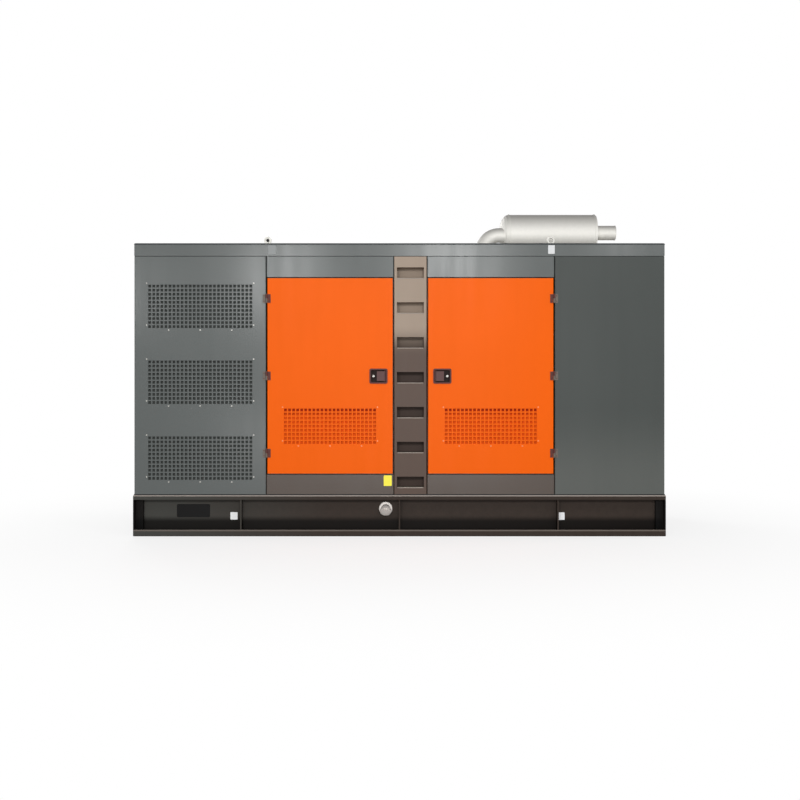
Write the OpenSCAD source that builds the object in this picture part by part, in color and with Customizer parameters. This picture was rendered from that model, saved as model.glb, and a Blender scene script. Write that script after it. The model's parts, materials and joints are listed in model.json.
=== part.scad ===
// Gas generator set in a sound-damping canopy: a folded-channel skid base, sheet-metal walls with
// two hinged front doors, a roof silencer, and the engine, alternator and radiator inside.
// Millimetres, Z up, front face towards -Y, origin at the centre of the underside.

/* [Canopy] */
// Length over the end walls
canopy_length = 3800; // [3600:10:4200]
// Width over the side walls
canopy_width = 1400; // [1300:10:1600]
// Height of the walls between the base and the roof
wall_height = 1710; // [1690:5:1850]
// Thickness of the sheet steel
sheet = 3; // [2:0.5:4]
// Outside radius of the folded edges
fold_r = 6; // [4:0.5:8]
// Width of the seam between neighbouring panels
seam = 4; // [2:0.5:6]
// Height of the roof fascia above its seam
roof_height = 91; // [80:1:120]
// Height of the shadow gap under the roof fascia
roof_seam = 4; // [2:0.5:6]
// Width of the flange that seats the roof on the walls
roof_flange = 34; // [25:1:42]
// Set-back of that flange from the fascia
roof_inset = 7; // [5:1:10]

/* [Base] */
// Height of the base rails
base_height = 295; // [260:5:340]
// Overhang of the base beyond the canopy
base_overhang = 8; // [4:1:15]
// Depth of the rail channel
rail_depth = 90; // [80:1:120]
// Plate thickness of the rails
rail_plate = 8; // [6:1:10]
// Outside radius of the rail's folds
rail_fold = 10; // [8:1:14]
// Height of the lip at the top of the rail
top_lip = 34; // [30:1:50]
// Height of the lip at the bottom of the rail
bottom_lip = 48; // [40:1:60]
// Width of the posts that close the rail ends
post_width = 62; // [50:1:80]
// Set-back of the posts behind the rail lips
post_setback = 44; // [5:1:60]
// Thickness of the gussets in the rails
gusset_plate = 10; // [8:1:14]
// Distance between neighbouring gussets
gusset_pitch = 1137; // [1000:1:1300]
// Radius of the anchor holes in the bottom flanges
anchor_r = 11; // [8:0.5:14]
// Distance of the anchor holes from the rail ends
anchor_inset = 208; // [150:1:300]

/* [Front bays] */
// Width of the air inlet panel at the left
inlet_panel_width = 945; // [920:1:1000]
// Width of each door bay
door_bay_width = 915; // [890:1:960]
// Width of the column with the foot pockets
column_width = 237; // [225:1:280]
// Width of the plain panel at the right
plain_panel_width = 788; // [740:1:840]
// Height of the panel under the doors
sill_height = 147; // [120:1:180]
// Height of the panel above the doors
lintel_height = 147; // [120:1:180]

/* [Doors] */
// Gap around each door
door_gap = 8; // [7:0.5:10]
// Depth of the folded door edges
door_depth = 40; // [36:1:50]
// Gap between a closed door and its stop frame
seal_gap = 6; // [5:0.5:10]
// Overlap of the stop frame behind the door edge
stop_cover = 26; // [20:1:40]
// Thickness of the stop frame
stop_depth = 30; // [20:1:40]
// Overlap of the stop frame and the folded panel edges
stop_lap = 4; // [3:0.5:6]
// Height of the door grille's centre above the door's lower edge
grille_rise = 339; // [300:1:400]

/* [Punched plates] */
// Distance between neighbouring holes
hole_pitch = 29; // [26:0.5:34]
// Side of the square holes
hole_side = 19.5; // [16:0.5:22]
// Least metal beside an inlet plate
inlet_margin = 70; // [62:1:75]
// Rows of holes in an inlet plate
inlet_rows = 11; // [8:1:13]
// Least metal beside a door grille
grille_margin = 88; // [82:1:95]
// Rows of holes in a door grille
grille_rows = 9; // [6:1:12]
// Height of the lowest inlet plate's centre above the base
inlet_rise = 265; // [240:1:300]
// Distance between neighbouring inlet plates
inlet_step = 544; // [480:1:600]
// Plain border of a punched plate around its holes
plate_border = 20; // [14:1:30]
// Reveal of the border inside the panel's window
plate_reveal = 2; // [1:0.5:4]
// Depth of the air baffles behind the inlet plates
baffle_depth = 22; // [15:1:80]
// Depth of the baffles behind the door grilles
grille_baffle_depth = 18; // [14:1:30]
// Distance between the holes of the radiator outlet plate
outlet_pitch = 52; // [44:1:60]
// Side of the holes of the radiator outlet plate
outlet_hole = 40; // [30:1:48]
// Columns of holes in the radiator outlet plate
outlet_cols = 19; // [15:1:20]
// Rows of holes in the radiator outlet plate
outlet_rows = 19; // [15:1:22]
// Height of the outlet plate's centre above the base
outlet_rise = 800; // [750:5:900]

/* [Foot pockets] */
// Number of foot pockets
pocket_count = 7; // [4:1:7]
// Distance between neighbouring pockets
pocket_pitch = 250; // [230:1:255]
// Metal on each side of a pocket
pocket_margin = 22; // [20:1:30]
// Height of a pocket
pocket_height = 76; // [60:1:90]
// Depth of a pocket
pocket_depth = 110; // [80:1:140]
// Height of the lowest pocket's centre above the base
pocket_rise = 95; // [80:1:120]

/* [Hinges] */
// Height of a hinge
hinge_height = 62; // [50:1:80]
// Width of each hinge leaf
leaf_width = 28; // [24:1:36]
// Thickness of a hinge leaf
leaf_plate = 4; // [3:0.5:6]
// Radius of the hinge knuckle
knuckle_r = 8; // [7:0.5:10]
// Gap between the knuckle and the skin
knuckle_lift = 2; // [1:0.5:3]
// Gap between the knuckle and the other leaf
knuckle_air = 1.5; // [1:0.25:2]
// Radius of the hinge pin
pin_r = 4; // [3:0.5:5]
// Distance from the middle hinge to the outer ones
hinge_step = 554; // [480:1:600]
// Clearance around a turning pin
pin_clearance = 0.05; // [0.03:0.01:0.1]
// Gap between the two knuckles of a hinge
knuckle_gap = 0.5; // [0.3:0.1:1]

/* [Latches] */
// Width of the latch frame
latch_width = 130; // [120:1:150]
// Height of the latch frame
latch_height = 108; // [100:1:120]
// Corner radius of the latch frame
latch_corner = 12; // [10:1:22]
// Width of the latch frame's border
latch_border = 10; // [8:0.5:12]
// Height of the latch frame above the door skin
latch_proud = 7; // [5:0.5:9]
// Depth of the latch dish behind the door skin
latch_depth = 26; // [20:1:32]
// Distance of the latch's centre from the door's free edge
latch_inset = 102; // [90:1:120]
// Height of the latch's centre above the door's lower edge
latch_rise = 698; // [600:1:800]
// Length of the pull paddle from its pivot
paddle_length = 58; // [50:1:62]
// Height of the pull paddle
paddle_height = 70; // [60:1:76]
// Thickness of the pull paddle
paddle_plate = 5; // [4:0.5:6]
// Radius of the paddle's barrel
paddle_barrel_r = 5.5; // [5:0.25:6]
// Radius of the paddle's pivot pin
paddle_pin_r = 2.5; // [2:0.25:3]
// Height of the paddle's pivot above the door skin
paddle_proud = 1; // [0.5:0.5:2]
// Distance of the paddle's pivot from the dish wall
paddle_pivot_inset = 9; // [8:0.5:12]
// Radius of the key barrel
key_r = 10; // [8:0.5:11]
// Distance of the key barrel from the latch's centre
key_offset = 36; // [34:0.5:38]

/* [Exhaust] */
// Radius of the silencer
muffler_r = 140; // [120:1:150]
// Length of the silencer shell
muffler_length = 674; // [600:1:760]
// Place of the silencer's left end along the canopy
muffler_x = 846; // [830:1:900]
// Gap between the silencer and the roof
muffler_lift = 37; // [30:1:60]
// Bulge of the left silencer head
inlet_dish = 66; // [30:1:80]
// Depth of the flat right silencer head with its round rim
outlet_dish = 12; // [10:1:30]
// Radius of the exhaust pipe
pipe_r = 56; // [50:1:60]
// Wall of the exhaust pipe
pipe_wall = 3; // [2:0.5:5]
// Bend radius of the exhaust elbow
elbow_bend = 130; // [110:1:135]
// Distance of the exhaust riser from the silencer's left end
riser_gap = 203; // [200:1:230]
// Height of the silencer's inlet below its axis
inlet_drop = 28; // [15:1:35]
// Metal between the silencer's inlet and its shell
head_land = 10; // [8:1:20]
// Length of the tail pipe beyond the silencer
tail_length = 168; // [100:1:190]
// Clearance of the pipe in the silencer head
pipe_fit = 0.3; // [0.1:0.1:1]
// Clearance of the pipe in the roof collar
roof_fit = 5; // [3:0.5:10]
// Height of the roof collar around the pipe
collar_height = 22; // [15:1:30]
// Distance of the saddles from the silencer's ends
saddle_inset = 150; // [100:1:200]
// Plate of the saddles
saddle_plate = 6; // [4:1:10]
// Half width of a saddle
saddle_half = 118; // [100:1:130]
// Length of a saddle's foot
saddle_foot = 60; // [40:1:80]
// Height of a saddle's arms above the silencer's underside
saddle_hug = 46; // [30:1:60]

/* [Lifting eyes] */
// Place of the left lifting eyes along the canopy
eye_left = -950; // [-1000:1:-900]
// Place of the right lifting eyes along the canopy
eye_right = 1092; // [1050:1:1150]
// Distance of the lifting eyes from the canopy's side
eye_inset = 60; // [50:1:80]
// Outside radius of a lifting ring
eye_r = 27; // [24:0.5:32]
// Radius of the hole in a lifting ring
eye_hole_r = 17; // [12:0.5:18]
// Thickness of a lifting ring
eye_plate = 14; // [10:1:18]
// Radius of the collar under a lifting ring
eye_collar_r = 22; // [20:1:28]
// Height of that collar
eye_collar = 6; // [4:0.5:8]

/* [Gas inlet] */
// Place of the gas inlet along the base
gas_x = -99; // [-150:1:-70]
// Height of the gas inlet on the rail web
gas_z = 192; // [180:1:205]
// Radius of the flange on the rail web
gas_flange_r = 49; // [46:1:52]
// Thickness of that flange
gas_flange = 10; // [8:1:12]
// Radius of the gas pipe
gas_r = 33; // [28:1:36]
// Bend radius of the elbow
gas_bend = 58; // [50:1:62]
// Angle of the elbow
gas_angle = 35; // [25:1:40]
// Turn of the elbow about the rail's normal
gas_turn = 4; // [0:1:30]
// Radius of the bead around the elbow's mouth
gas_bead_r = 39; // [37:1:42]
// Length of that bead
gas_bead = 12; // [8:1:14]
// Radius of the plug's hexagon over its corners
plug_r = 30; // [24:1:34]
// Height of the plug above the elbow's mouth
plug_height = 8; // [6:1:12]

/* [Engine set] */
// Height of the crankshaft above the deck
crank_rise = 500; // [480:5:560]
// Place of the flywheel face along the canopy
flywheel_x = -300; // [-340:1:-260]
// Depth of the flywheel housing
housing_depth = 60; // [40:5:80]
// Length of the cylinder block
block_length = 1080; // [1000:5:1100]
// Width of the cylinder block
block_width = 480; // [420:5:520]
// Height of the block's top above the crankshaft
block_rise = 420; // [380:5:460]
// Depth of the block below the crankshaft
block_drop = 130; // [110:5:160]
// Width of the ribs on the block's sides
rib_width = 16; // [10:1:24]
// Height of the ribs on the block's sides
rib_out = 12; // [8:1:20]
// Width of the sump
sump_width = 336; // [280:2:400]
// Clearance of the sump above the deck
sump_lift = 120; // [100:5:150]
// Set-back of the sump from the block's ends
sump_inset = 40; // [30:1:60]
// Lip of the sump's flange beyond the block
sump_lip = 14; // [8:1:20]
// Number of cylinders
cylinder_count = 6; // [4:1:6]
// Distance between neighbouring cylinders
cylinder_pitch = 132; // [120:1:136]
// Distance of the first cylinder head from the block's end
head_inset = 30; // [20:1:40]
// Gap between neighbouring cylinder heads
head_gap = 8; // [6:1:14]
// Width of a cylinder head
head_width = 298; // [260:2:340]
// Height of a cylinder head
head_height = 150; // [120:5:180]
// Width of a rocker cover
cover_width = 198; // [160:2:220]
// Height of a rocker cover
cover_height = 110; // [80:5:140]
// Step from a cylinder head in to its rocker cover
cover_step = 10; // [6:1:16]
// Corner radius of the rocker covers
cover_corner = 24; // [16:1:32]
// Radius of the manifolds
manifold_r = 62; // [50:1:70]
// Distance of the manifolds from the block's sides
manifold_out = 70; // [65:1:90]
// Radius of the ports into the manifolds
port_r = 34; // [28:1:40]
// Radius of the turbocharger
turbo_r = 95; // [80:1:110]
// Height of the turbocharger
turbo_height = 200; // [160:5:240]
// Height of the exhaust outlet above the block
turbo_rise = 300; // [280:5:340]
// Radius of the oil filters
filter_r = 46; // [40:1:55]
// Height of the oil filters
filter_height = 190; // [150:5:220]
// Distance between the oil filters
filter_pitch = 124; // [115:1:140]
// Radius of the starter motor
starter_r = 58; // [50:1:65]
// Length of the starter motor
starter_length = 270; // [220:5:320]
// Radius of the crankshaft pulley
pulley_r = 68; // [60:1:70]
// Radius of the fan pulley
fan_pulley_r = 44; // [40:1:46]
// Depth of the pulleys
pulley_depth = 60; // [50:1:70]
// Radius of the fan shaft
shaft_r = 30; // [24:1:36]
// Width of the engine and alternator feet
foot_width = 140; // [120:5:170]
// Length of the engine feet
foot_length = 100; // [80:5:140]
// Distance of the engine feet from the block's ends
foot_inset = 150; // [120:5:200]
// Radius of the alternator
alternator_r = 300; // [260:5:330]
// Length of the alternator
alternator_length = 760; // [650:5:800]
// Length of the alternator's end bell
bell_length = 110; // [90:5:140]
// Step from the alternator's flanges down to its barrel
barrel_step = 14; // [10:1:20]
// Width of the alternator's flanges
flange_width = 40; // [30:1:60]
// Number of cooling ribs on the alternator
rib_count = 7; // [4:1:8]
// Length of the terminal box
box_length = 420; // [360:5:460]
// Width of the terminal box
box_width = 420; // [360:5:460]
// Height of the terminal box above the alternator
box_rise = 190; // [150:5:220]
// Place of the radiator's face along the canopy
radiator_x = 1180; // [1150:5:1250]
// Depth of the radiator core
radiator_depth = 130; // [90:5:180]
// Width of the radiator
radiator_width = 1080; // [900:5:1120]
// Height of the radiator
radiator_height = 1250; // [1000:5:1350]
// Height of the radiator's tanks
tank_height = 110; // [80:5:140]
// Lip of the tanks beyond the core
tank_lip = 20; // [10:1:25]
// Depth of the fan shroud
shroud_depth = 120; // [100:5:140]
// Plate of the fan shroud's ring
shroud_plate = 6; // [4:1:8]
// Radius of the fan ring
fan_r = 440; // [380:5:480]
// Distance of the fan from the radiator
fan_setback = 90; // [80:1:110]
// Depth of the fan's hub
fan_depth = 70; // [60:1:78]
// Radius of the fan's hub
fan_hub_r = 100; // [80:1:120]
// Number of fan blades
blade_count = 8; // [5:1:9]
// Width of a fan blade
blade_width = 130; // [100:1:140]
// Thickness of a fan blade
blade_plate = 6; // [4:1:8]
// Pitch of the fan blades
blade_turn = 28; // [15:1:30]
// Gap between the blade tips and the ring
tip_gap = 30; // [20:1:40]

/* [Hidden] */
// Short lap that joins pieces of one solid
lap = 1;
// Straight steps on a folded or rounded corner
corner_steps = 6;
half_l = canopy_length / 2;
half_w = canopy_width / 2;
base_half_l = half_l + base_overhang;
base_half_w = half_w + base_overhang;
wall_top = base_height + wall_height;
roof_top = wall_top + roof_seam + roof_height;
wall_depth = door_depth + seal_gap + stop_lap;
stop_front = door_depth + seal_gap;

// The bays share the canopy's length in proportion, and what is fitted to them keeps its place
bays_length = inlet_panel_width + 2 * door_bay_width + column_width + plain_panel_width;
stretch = canopy_length / bays_length;

// Seams of the front bays from left to right
inlet_bay = inlet_panel_width * stretch;
door_bay = door_bay_width * stretch;
column_bay = column_width * stretch;
seam_a = -half_l + inlet_bay;
seam_b = seam_a + door_bay;
seam_c = seam_b + column_bay;
seam_d = seam_c + door_bay;
pocket_width = column_bay - 2 * pocket_margin;

// Doors, in their own bay
door_bottom = base_height + sill_height + door_gap;
door_top = wall_top - lintel_height - door_gap;
door_width = door_bay - 2 * door_gap;
door_height = door_top - door_bottom;
hinge_mid = (door_bottom + door_top) / 2;
hinge_x = door_gap / 2;
hinge_out = knuckle_r + knuckle_lift;
latch_x = door_bay - door_gap - latch_inset;
latch_z = door_bottom + latch_rise;
dish_width = latch_width - 2 * latch_border;
dish_height = latch_height - 2 * latch_border;
dish_corner = latch_corner - latch_border / 2;
latch_wall = 3;
latch_fit = 0.5;
paddle_x = dish_width / 2 - paddle_pivot_inset;

// Windows behind the punched plates
bar = hole_pitch - hole_side;
inlet_cols = floor((inlet_bay - 2 * (plate_border + inlet_margin)) / hole_pitch);
grille_cols = floor((door_width - 2 * (plate_border + grille_margin)) / hole_pitch);
inlet_w = inlet_cols * hole_pitch;
inlet_h = inlet_rows * hole_pitch;
grille_w = grille_cols * hole_pitch;
grille_h = grille_rows * hole_pitch;
outlet_w = outlet_cols * outlet_pitch;
outlet_h = outlet_rows * outlet_pitch;
inlet_x = -half_l + inlet_bay / 2;
inlet_count = 3;

// Exhaust
muffler_z = roof_top + muffler_lift + muffler_r;
pipe_z = muffler_z - inlet_drop;
muffler_at = muffler_x * stretch;
muffler_end = muffler_at + muffler_length;
muffler_wall = 3;
riser_at = muffler_at - riser_gap;
head_room = muffler_r - muffler_wall - pipe_r - head_land;
riser_y = -sqrt(pow(head_room, 2) - pow(inlet_drop, 2));
elbow_z = pipe_z - elbow_bend;
pipe_reach = riser_gap - elbow_bend;

// Engine set
crank_z = base_height + crank_rise;
flywheel_at = flywheel_x * stretch;
block_l = block_length * stretch;
block_x0 = flywheel_at + housing_depth;
block_x1 = block_x0 + block_l;
block_top = crank_z + block_rise;
block_bottom = crank_z - block_drop;
bore_pitch = cylinder_pitch * stretch;
alternator_l = alternator_length * stretch;
radiator_at = radiator_x * stretch;
turbo_top = block_top + turbo_rise;
fan_z = base_height + radiator_height / 2;
fan_at = radiator_at - fan_setback;

// Outlines

// Points of a round corner between two angles
function arc(c, r, a0, a1) = [for (i = [0:corner_steps])
    let (a = a0 + (a1 - a0) * i / corner_steps) [c[0] + r * cos(a), c[1] + r * sin(a)]];

// Top view of a folded sheet: round front corners, square at the back
module fold_outline(w, d, r) {
    polygon(concat([[0, d]], arc([r, r], r, 180, 270), arc([w - r, r], r, 270, 360), [[w, d]]));
}

// Rectangle with round corners about the origin
module rounded(w, h, r) {
    polygon(concat(
        arc([w / 2 - r, h / 2 - r], r, 0, 90),
        arc([r - w / 2, h / 2 - r], r, 90, 180),
        arc([r - w / 2, r - h / 2], r, 180, 270),
        arc([w / 2 - r, r - h / 2], r, 270, 360)));
}

// Extrusion of an upright outline from y = from to y = to
module upright(from, to) {
    translate([0, to, 0]) rotate([90, 0, 0]) linear_extrude(to - from) children();
}

// Folded parts

// Sheet-metal pan: face on y = 0, folded edges towards +Y
module pan(w, h, d) {
    difference() {
        linear_extrude(h) fold_outline(w, d, fold_r);
        translate([sheet, sheet, sheet]) cube([w - 2 * sheet, d, h - 2 * sheet]);
    }
}

// Opening in a panel's skin for a field of holes
module window(w, h, b) {
    upright(-lap, sheet + lap) square([w - b + 2 * plate_reveal, h - b + 2 * plate_reveal], center = true);
}

// Punched plate that lies against the back of a skin
module punched_plate(cols, rows, pitch, side) {
    upright(sheet, 2 * sheet) difference() {
        square([cols * pitch + 2 * plate_border, rows * pitch + 2 * plate_border], center = true);
        for (i = [0:cols - 1], j = [0:rows - 1])
            translate([(i - (cols - 1) / 2) * pitch, (j - (rows - 1) / 2) * pitch])
                square(side, center = true);
    }
}

// Folded baffle behind a punched plate, open to both sides
module baffle(w, h, d) {
    hh = h / 2 + plate_border;
    translate([0, 2 * sheet, 0]) rotate([90, 0, 90]) linear_extrude(w, center = true) difference() {
        translate([0, -hh]) square([d, 2 * hh]);
        translate([-lap, sheet - hh]) square([d - sheet + lap, 2 * (hh - sheet)]);
    }
}

module inlet_baffle(i) {
    at_inlet(i) baffle(inlet_w, inlet_h, baffle_depth);
}

module grille_baffle() {
    at_grille() baffle(grille_w, grille_h, grille_baffle_depth);
}

// Places

module on_front() {
    translate([0, -half_w, 0]) children();
}

module on_rear() {
    mirror([0, 1, 0]) on_front() children();
}

module in_left_bay() {
    translate([seam_a, 0, 0]) children();
}

module in_right_bay() {
    translate([seam_d, 0, 0]) mirror([1, 0, 0]) children();
}

module in_both_bays() {
    in_left_bay() children();
    in_right_bay() children();
}

module at_inlet(i) {
    translate([inlet_x, 0, base_height + inlet_rise + i * inlet_step]) children();
}

module at_grille() {
    translate([door_bay / 2, 0, door_bottom + grille_rise]) children();
}

module at_latch() {
    translate([latch_x, 0, latch_z]) children();
}

module at_outlet() {
    translate([half_l, 0, base_height + outlet_rise]) rotate([0, 0, 90]) children();
}

// Base

// Channel with a lip at its top and bottom, open towards -Y, along X
module rail(length) {
    rotate([90, 0, 90]) linear_extrude(length, center = true) difference() {
        polygon(concat(
            [[rail_depth, 0], [rail_depth, base_height]],
            arc([rail_fold, base_height - rail_fold], rail_fold, 90, 180),
            arc([rail_fold, rail_fold], rail_fold, 180, 270)));
        translate([rail_plate, rail_plate])
            square([rail_depth - 2 * rail_plate, base_height - 2 * rail_plate]);
        translate([-lap, bottom_lip])
            square([rail_plate + 2 * lap, base_height - top_lip - bottom_lip]);
    }
}

module side_rail() {
    translate([0, -base_half_w, 0]) difference() {
        rail(2 * base_half_l);
        for (s = [-1, 1])
            translate([s * (base_half_l - anchor_inset), rail_depth / 2, -lap])
                cylinder(r = anchor_r, h = rail_plate + 2 * lap);
    }
}

module front_rail() {
    color("#3a322f") side_rail();
}

module rear_rail() {
    color("#3a322f") mirror([0, 1, 0]) side_rail();
}

module end_beams() {
    color("#3a322f") for (s = [0, 1]) mirror([s, 0, 0])
        translate([-base_half_l, 0, 0]) rotate([0, 0, -90]) rail(2 * (base_half_w - rail_depth));
}

module corner_posts() {
    post_y = rail_plate + post_setback;
    color("#3a322f") for (sx = [0, 1], sy = [0, 1]) mirror([sx, 0, 0]) mirror([0, sy, 0])
        translate([-base_half_l, post_y - base_half_w, rail_plate])
            cube([post_width, rail_depth - rail_plate - post_y, base_height - 2 * rail_plate]);
}

module rail_gussets() {
    color("#3a322f") for (i = [-1:1], sy = [0, 1]) mirror([0, sy, 0])
        translate([i * gusset_pitch * stretch - gusset_plate / 2, rail_plate - base_half_w, rail_plate])
            cube([gusset_plate, rail_depth - 2 * rail_plate, base_height - 2 * rail_plate]);
}

module deck_plate() {
    deck_l = 2 * (base_half_l - rail_depth);
    deck_w = 2 * (base_half_w - rail_depth);
    color("#4a4a48") translate([-deck_l / 2, -deck_w / 2, base_height - rail_plate])
        cube([deck_l, deck_w, rail_plate]);
}

// Plugged elbow that leaves a flange on the rail web and turns downwards
module gas_inlet() {
    web_y = rail_depth - rail_plate - base_half_w;
    round = gas_flange / 2;
    color("#c9cac8") translate([gas_x, web_y, gas_z]) rotate([90, gas_turn, 0]) union() {
        rotate_extrude() polygon(concat(
            [[0, 0]], arc([gas_flange_r - round, round], round, -90, 90), [[0, gas_flange]]));
        translate([0, -gas_bend, gas_flange - lap]) {
            rotate([90, 0, 90]) rotate_extrude(angle = gas_angle) translate([gas_bend, 0])
                circle(r = gas_r);
            rotate([gas_angle, 0, 0]) translate([0, gas_bend, 0]) {
                translate([0, 0, -2 * lap]) cylinder(r = gas_bead_r, h = gas_bead + 2 * lap);
                translate([0, 0, gas_bead - lap]) cylinder(r = plug_r, h = plug_height + lap, $fn = 6);
            }
        }
    }
}

// Walls

// Panel with the windows of the air inlet
module inlet_panel() {
    difference() {
        translate([-half_l, 0, base_height]) pan(inlet_bay - seam / 2, wall_height, wall_depth);
        for (i = [0:inlet_count - 1]) at_inlet(i) window(inlet_w, inlet_h, bar);
    }
}

module plain_panel() {
    translate([seam_d + seam / 2, 0, base_height])
        pan(half_l - seam_d - seam / 2, wall_height, wall_depth);
}

// Sill and lintel joined by the stop frame behind the door's edge
module door_frame() {
    w = door_bay - seam;
    cover = door_gap + stop_cover;
    ring_bottom = base_height + sheet;
    ring_h = wall_height - 2 * sheet;
    translate([seam / 2, 0, base_height]) pan(w, sill_height, wall_depth);
    translate([seam / 2, 0, door_top + door_gap]) pan(w, lintel_height, wall_depth);
    difference() {
        translate([seam / 2 + sheet, stop_front, ring_bottom]) cube([w - 2 * sheet, stop_depth, ring_h]);
        translate([cover, stop_front - lap, door_bottom + stop_cover])
            cube([door_bay - 2 * cover, stop_depth + 2 * lap, door_height - 2 * stop_cover]);
    }
}

module column_pan() {
    translate([seam_b + seam / 2, 0, base_height]) pan(column_bay - seam, wall_height, wall_depth);
}

module at_pocket(i) {
    translate([(seam_b + seam_c) / 2, 0, base_height + pocket_rise + i * pocket_pitch]) children();
}

module end_wall() {
    wide = canopy_width - 2 * wall_depth - 2 * seam;
    translate([-wide / 2, 0, base_height]) pan(wide, wall_height, wall_depth);
}

module front_inlet_panel() {
    color("#65696a") on_front() inlet_panel();
}

module front_plain_panel() {
    color("#65696a") on_front() plain_panel();
}

module front_door_frames() {
    color("#65696a") on_front() in_both_bays() door_frame();
}

module ladder_column() {
    color("#65696a") on_front() difference() {
        column_pan();
        for (i = [0:pocket_count - 1]) at_pocket(i)
            upright(-lap, sheet + lap) square([pocket_width, pocket_height], center = true);
    }
}

module foot_pockets() {
    color("#65696a") on_front() for (i = [0:pocket_count - 1]) at_pocket(i) difference() {
        upright(sheet, sheet + pocket_depth)
            square([pocket_width + 2 * sheet, pocket_height + 2 * sheet], center = true);
        upright(sheet - lap, pocket_depth) square([pocket_width, pocket_height], center = true);
    }
}

module rear_inlet_panel() {
    color("#65696a") on_rear() inlet_panel();
}

module rear_plain_panel() {
    color("#65696a") on_rear() plain_panel();
}

module rear_door_frames() {
    color("#65696a") on_rear() in_both_bays() door_frame();
}

module rear_column() {
    color("#65696a") on_rear() column_pan();
}

module left_end_wall() {
    color("#65696a") translate([-half_l, 0, 0]) rotate([0, 0, -90]) end_wall();
}

module right_end_wall() {
    color("#65696a") difference() {
        translate([half_l, 0, 0]) rotate([0, 0, 90]) end_wall();
        at_outlet() window(outlet_w, outlet_h, outlet_pitch - outlet_hole);
    }
}

// Prism along X with round top edges, its top on z = 0
module round_top(length, w, h) {
    rotate([90, 0, 90]) linear_extrude(length, center = true) translate([-w / 2, 0]) mirror([0, 1])
        fold_outline(w, h, fold_r);
}

// Tray with round edges, a seat flange under its fascia and a collar for the exhaust pipe
module roof() {
    seat_l = canopy_length - 2 * roof_inset;
    seat_w = canopy_width - 2 * roof_inset;
    collar_r = pipe_r + roof_fit + sheet;
    color("#65696a") difference() {
        union() {
            translate([0, 0, roof_top]) difference() {
                intersection() {
                    round_top(canopy_length, canopy_width, roof_height);
                    rotate([0, 0, 90]) round_top(canopy_width, canopy_length, roof_height);
                }
                translate([sheet - half_l, sheet - half_w, -roof_height - lap])
                    cube([canopy_length - 2 * sheet, canopy_width - 2 * sheet, roof_height - sheet + lap]);
            }
            translate([0, 0, wall_top]) linear_extrude(roof_seam + sheet) difference() {
                square([seat_l, seat_w], center = true);
                square([seat_l - 2 * roof_flange, seat_w - 2 * roof_flange], center = true);
            }
            translate([0, 0, wall_top + roof_seam]) linear_extrude(sheet) difference() {
                square([canopy_length - sheet, canopy_width - sheet], center = true);
                square([seat_l - 2 * roof_flange, seat_w - 2 * roof_flange], center = true);
            }
            translate([riser_at, riser_y, roof_top - sheet])
                cylinder(r = collar_r, h = collar_height + sheet);
        }
        translate([riser_at, riser_y, roof_top - 2 * sheet])
            cylinder(r = pipe_r + roof_fit, h = collar_height + 3 * sheet);
    }
}

// Punched plates and baffles

module inlet_plate(i) {
    at_inlet(i) punched_plate(inlet_cols, inlet_rows, hole_pitch, hole_side);
}

module grille_plate() {
    at_grille() punched_plate(grille_cols, grille_rows, hole_pitch, hole_side);
}

module front_mesh_top() {
    color("#65696a") on_front() inlet_plate(2);
}

module front_mesh_middle() {
    color("#65696a") on_front() inlet_plate(1);
}

module front_mesh_bottom() {
    color("#65696a") on_front() inlet_plate(0);
}

module rear_mesh_top() {
    color("#65696a") on_rear() inlet_plate(2);
}

module rear_mesh_middle() {
    color("#65696a") on_rear() inlet_plate(1);
}

module rear_mesh_bottom() {
    color("#65696a") on_rear() inlet_plate(0);
}

module outlet_mesh() {
    color("#65696a") at_outlet() punched_plate(outlet_cols, outlet_rows, outlet_pitch, outlet_hole);
}

module rear_door_grilles() {
    color("#f56a18") on_rear() in_both_bays() grille_plate();
}

module air_baffles() {
    color("#55585a") {
        on_front() for (i = [0:inlet_count - 1]) inlet_baffle(i);
        on_rear() for (i = [0:inlet_count - 1]) inlet_baffle(i);
        on_rear() in_both_bays() grille_baffle();
    }
}

// Doors

// Folded door with a window for its grille and a hole for its latch dish
module door_panel() {
    difference() {
        translate([door_gap, 0, door_bottom]) pan(door_width, door_height, door_depth);
        at_grille() window(grille_w, grille_h, bar);
        at_latch() upright(-lap, sheet + lap) dish_outline(latch_wall + latch_fit);
    }
}

// Outline of the latch dish, grown by a margin on every side
module dish_outline(grow) {
    rounded(dish_width + 2 * grow, dish_height + 2 * grow, dish_corner + grow);
}

// Round-cornered dish with a proud border, a key barrel and the paddle's pivot pin
module latch() {
    at_latch() union() {
        difference() {
            union() {
                upright(-latch_proud, 0) rounded(latch_width, latch_height, latch_corner);
                upright(-lap, latch_depth) dish_outline(latch_wall);
            }
            upright(-latch_proud - lap, latch_depth - latch_wall) dish_outline(0);
        }
        upright(-latch_proud / 2, latch_depth - lap) translate([-key_offset, 0]) circle(r = key_r);
        translate([paddle_x, -paddle_proud, -dish_height / 2 - lap])
            cylinder(r = paddle_pin_r, h = dish_height + 2 * lap);
    }
}

// Flat pull with a barrel around the pivot pin
module paddle() {
    at_latch() translate([paddle_x, -paddle_proud, -paddle_height / 2]) difference() {
        union() {
            cylinder(r = paddle_barrel_r, h = paddle_height);
            translate([-paddle_length, -paddle_plate / 2, 0])
                cube([paddle_length, paddle_plate, paddle_height]);
        }
        translate([0, 0, -lap]) cylinder(r = paddle_pin_r + pin_clearance, h = paddle_height + 2 * lap);
    }
}

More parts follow.
